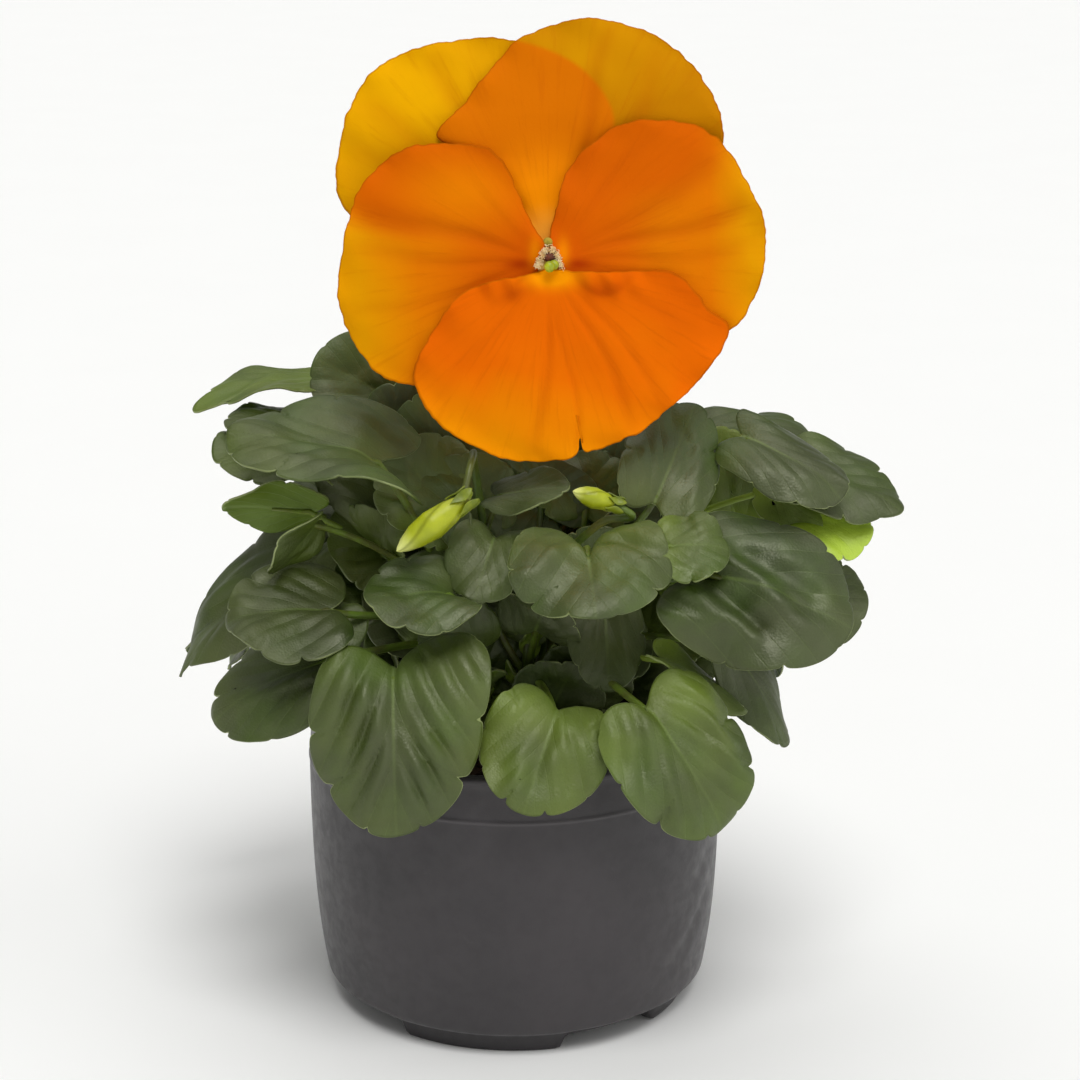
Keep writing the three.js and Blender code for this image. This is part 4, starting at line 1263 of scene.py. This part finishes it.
def addHair(bm, side, draw):
    along = draw.random() ** 0.8
    middle = Vector((side * (0.7 + 2.4 * along), 3.9 - 4.6 * along))
    root = middle + Vector((draw.gauss(0, 0.3), draw.gauss(0, 0.3)))
    tip = root + Vector((-side * draw.uniform(-0.3, 1.0), draw.uniform(-0.9, 0.3)))
    out = draw.uniform(*throatForm["hairReach"]) * (1 - 0.3 * along)
    bend = root.lerp(tip, 0.4)
    path = [flowerPoint(root.x, root.y, -1.2), flowerPoint(*bend, 0.5 * out), flowerPoint(*tip, out)]
    radius = throatForm["hairRadius"]
    sweep(bm, path, [radius * 1.4, radius, radius * 0.6], 4)


def makeThroat():
    form = throatForm
    draw = random.Random(form["seed"])
    brown = plainMaterial("antherBrown", (120, 52, 16), (56, 20, 6), 900, 0.7)
    green = plainMaterial("stigmaGreen", (178, 186, 18), (128, 140, 10), 500, 0.35)
    cream = plainMaterial("hairCream", (255, 238, 196), (246, 208, 138), 400, 0.7)
    olive = plainMaterial("clawOlive", (172, 148, 30), (118, 112, 14), 700, 0.7)
    cone = bmesh.new()
    ball(cone, flowerPoint(*form["anthers"]), form["antherRadius"], (0.9, 0.75, 0.9))
    makePiece(cone, "antherCone", [brown], "petal", "bloom")
    head = bmesh.new()
    ball(head, flowerPoint(*form["stigma"]), form["stigmaRadius"], (1, 1.05, 0.9))
    ball(head, flowerPoint(*form["stigmaSide"]), form["sideRadius"], (1, 1, 0.8))
    sweep(head, [flowerPoint(*place) for place in form["style"]], form["styleRadius"], 10)
    makePiece(head, "stigma", [green], "stalk", "flower_stalk")
    hairs = bmesh.new()
    for i in range(form["hairs"]):
        addHair(hairs, -1 if i % 2 else 1, draw)
    makePiece(hairs, "throatHairs", [cream], "petal", "bloom")
    claw = bmesh.new()
    ball(claw, flowerPoint(*form["claw"]), form["clawRadius"], (1.1, 1.1, 0.5))
    makePiece(claw, "petalClaw", [olive], "petal", "bloom")


makeThroat()
print("throat")


# flower stalk, calyx, hub and spur

hubBack = -6.1  # how far behind the flower's middle its parts stand
calyxBack = hubBack - 1.6
stalkForm = {
    "radius": 1.3,
    "sides": 14,
    "route": [(3, 7, 51), (3, 7, 71), (4, 5, 100), (7, -4, 150), (8.5, -13, 190)],
    "neck": [(8.5, -9.5), (9, -6), (3.5, -3.2), (0, -1)],  # up and out, from the calyx's back
    "calyx": [(-3.4, 1.2), (-2.4, 2.3), (-1.2, 2.9), (0, 2.7), (0.8, 1.8)],  # out, and radius
    "sepals": (90, 28, 152, -32, 212),
    "sepalLength": 15.5,
    "sepalWidth": 5.6,
    "sepalThickness": 0.45,
    "hub": [(0, 2.2), (1.5, 3.4), (3.5, 3.4), (5.2, 2.2)],
    "spur": [(-3, -4), (-6, -8), (-8.5, -13)],  # up and out
    "spurRadius": 1.6,
    "spurTip": [0.9, 0.45],
}


def stalkMaterial(name, light, dark):
    material, tree, shader = newMaterial(name, 0.42)
    colour = patchy(tree, 120, 4, light, dark)
    colour = blend(tree, between(tree, cloud(tree, 40, 2), 0.5, 0.7, 0, 0.5), colour, seen(112, 92, 44))
    paint(tree, shader, colour)
    relief(tree, shader, cloud(tree, 1300, 3), 0.3, 0.0002)
    return material


def sepal(bm, turn, length, width, root, out, up, curl):  # a pointed scale, thin at its edge
    for vert in discGrid(bm, 14):
        x, y = 0.5 + 0.5 * vert.co.x, vert.co.y
        half = width / 2 * (1 - x ** 2.2) ** 0.8 * (0.55 + 0.9 * x * (1 - x) * 2)
        crown = 0.5 * (1 - y * y) * (1 - x)
        rise = crown - curl * x * x + 0.12 * math.sin(9 * x)
        vert.co = root + out * (x * length - 1.5) + turn * y * half + up * rise


def makeStalk():
    form = stalkForm
    green = stalkMaterial("stalkGreen", (122, 148, 44), (88, 116, 34))
    cream = plainMaterial("spurCream", (226, 190, 96), (206, 158, 60), 200, 0.55)
    stalk = bmesh.new()
    path = smoothLine(form["route"] + [flowerPoint(0, up, calyxBack + out) for up, out in form["neck"]], 8)
    radii = [form["radius"] * (1.12 - 0.25 * i / len(path)) for i in range(len(path))]
    sweep(stalk, path, radii, form["sides"])
    ends = [flowerPoint(0, 0, calyxBack + out) for out, _ in form["calyx"]]
    sweep(stalk, ends, [radius for _, radius in form["calyx"]], 20)
    makePiece(stalk, "flowerStalk", [green], "stalk", "flower_stalk")
    scales = bmesh.new()
    for turn in form["sepals"]:
        out = Vector((math.cos(math.radians(turn)), 0, 0)) + flowerUp * math.sin(math.radians(turn))
        sepal(scales, facing.cross(out), form["sepalLength"], form["sepalWidth"],
              flowerPoint(0, 0, calyxBack - 0.4), out, -facing, 0.8)
    calyx = makePiece(scales, "calyx", [green], "stalk", "flower_stalk")
    thicken(calyx, form["sepalThickness"], 0)
    hub = bmesh.new()
    path = [flowerPoint(0, 0, hubBack + out) for out, _ in form["hub"]]
    sweep(hub, path, [radius for _, radius in form["hub"]], 24)
    path = smoothLine([flowerPoint(0, up, out) for up, out in form["spur"]], 6)
    radii = [form["spurRadius"] - 0.04 * i for i in range(len(path) - 2)] + form["spurTip"]
    sweep(hub, path, radii, 14)
    makePiece(hub, "hubAndSpur", [cream], "petal", "bloom")


makeStalk()
print("stalk")


# buds: rolled petals in a spiral, held by narrow sepals

buds = {
    "left": {
        "tip": (-27, -48, 130.5), "neck": (-10.5, -43, 142), "radius": 3.5,
        "route": [(-6, -9, 51), (-6, -9, 71), (-6, -14, 110), (-9, -30, 146), (-9.5, -38, 150)],
    },
    "right": {
        "tip": (14, -46, 144.5), "neck": (24, -45, 141), "radius": 2.5,
        "route": [(6, -8, 51), (6, -8, 71), (9, -16, 112), (20, -38, 134), (28, -45, 138)],
    },
}
budForm = {
    "shape": [(0, 0.3), (0.08, 0.5), (0.25, 0.84), (0.5, 1), (0.72, 0.84), (0.88, 0.5), (0.97, 0.2),
              (1, 0.02)],    # from neck to tip, and radius
    "seams": 3,
    "twist": 1.1,            # turns of a seam from neck to tip, over the number of seams
    "stalkRadius": 1.15,
    "stalkTaper": 0.35,
    "sepals": 5,
    "sepalLength": 1.8,      # this and the width are in radii of the bud
    "sepalWidth": 0.85,
    "sepalThickness": 0.4,
}


def budMaterial():
    material, tree, shader = newMaterial("budGreen", 0.45)
    along, twist = reading(tree, "along"), reading(tree, "twist")
    colour = patchy(tree, 220, 4, (172, 180, 14), (150, 160, 10))
    colour = blend(tree, between(tree, along, 0.72, 1.0), colour, seen(222, 226, 134))
    colour = blend(tree, between(tree, along, 0.0, 0.3, 0.6, 0), colour, seen(132, 138, 8))
    colour = blend(tree, between(tree, twist, 0.0, 0.16, 0.6, 0), colour, seen(112, 118, 6))
    paint(tree, shader, colour)
    relief(tree, shader, cloud(tree, 900, 3), 0.3, 0.0002)
    return material


def addBud(bm, bud):
    neck, tip = Vector(bud["neck"]), Vector(bud["tip"])
    axis = tip - neck
    turn = axis.to_track_quat("Z", "Y").to_matrix()
    outline = tuple(zip(*budForm["shape"]))
    verts = bmesh.ops.create_uvsphere(bm, u_segments=48, v_segments=40, radius=1)["verts"]
    along, twist = bm.verts.layers.float["along"], bm.verts.layers.float["twist"]
    for vert in verts:
        share = 0.5 + 0.5 * vert.co.z
        around = math.atan2(vert.co.y, vert.co.x)
        radius = bud["radius"] * float(np.interp(share, *outline))
        seam = (budForm["seams"] * around / (2 * math.pi) + budForm["twist"] * share) % 1
        radius *= 0.9 + 0.14 * seam ** 0.5 if share < 0.98 else 1
        x, y = radius * math.cos(around), radius * math.sin(around)
        vert.co = neck + turn @ Vector((x, y, share * axis.length))
        vert[along], vert[twist] = share, min(seam, 1 - seam)


def addBudSepals(bm, bud):
    form, radius = budForm, bud["radius"]
    neck = Vector(bud["neck"])
    axis = (Vector(bud["tip"]) - neck).normalized()
    for i in range(form["sepals"]):
        out = axis.orthogonal().normalized()
        out.rotate(Matrix.Rotation(math.radians(360 / form["sepals"] * i + 20), 3, axis))
        root = neck + out * radius * 0.62 - axis * 0.5
        lean = (axis + out * 0.1).normalized()
        length, width = radius * form["sepalLength"], radius * form["sepalWidth"]
        sepal(bm, lean.cross(out), length, width, root, lean, out, -0.2)


def makeBuds():
    form = budForm
    petalsGreen = budMaterial()
    stalks = stalkMaterial("budStalkGreen", (92, 112, 32), (62, 82, 24))
    sepals = plainMaterial("budSepal", (132, 144, 18), (98, 112, 16), 260, 0.45)
    for name, bud in buds.items():
        grown = "bud_" + name
        bm = bmesh.new()
        bm.verts.layers.float.new("along")
        bm.verts.layers.float.new("twist")
        addBud(bm, bud)
        makePiece(bm, "budPetals_" + name, [petalsGreen], "bud", grown)
        neck = Vector(bud["neck"])
        axis = (Vector(bud["tip"]) - neck).normalized()
        path = smoothLine([*bud["route"], neck + axis * 1.5], 7)
        stalk = bmesh.new()
        radii = [form["stalkRadius"] - form["stalkTaper"] * i / len(path) for i in range(len(path))]
        sweep(stalk, path, radii, 12)
        makePiece(stalk, "budStalk_" + name, [stalks], "stalk", grown)
        scales = bmesh.new()
        addBudSepals(scales, bud)
        thicken(makePiece(scales, "budSepals_" + name, [sepals], "stalk", grown), form["sepalThickness"], 0)


makeBuds()
print("buds")

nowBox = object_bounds()
for box in (nowBox, cadBox):
    print("size", [round(value, 4) for corner in box for value in corner])
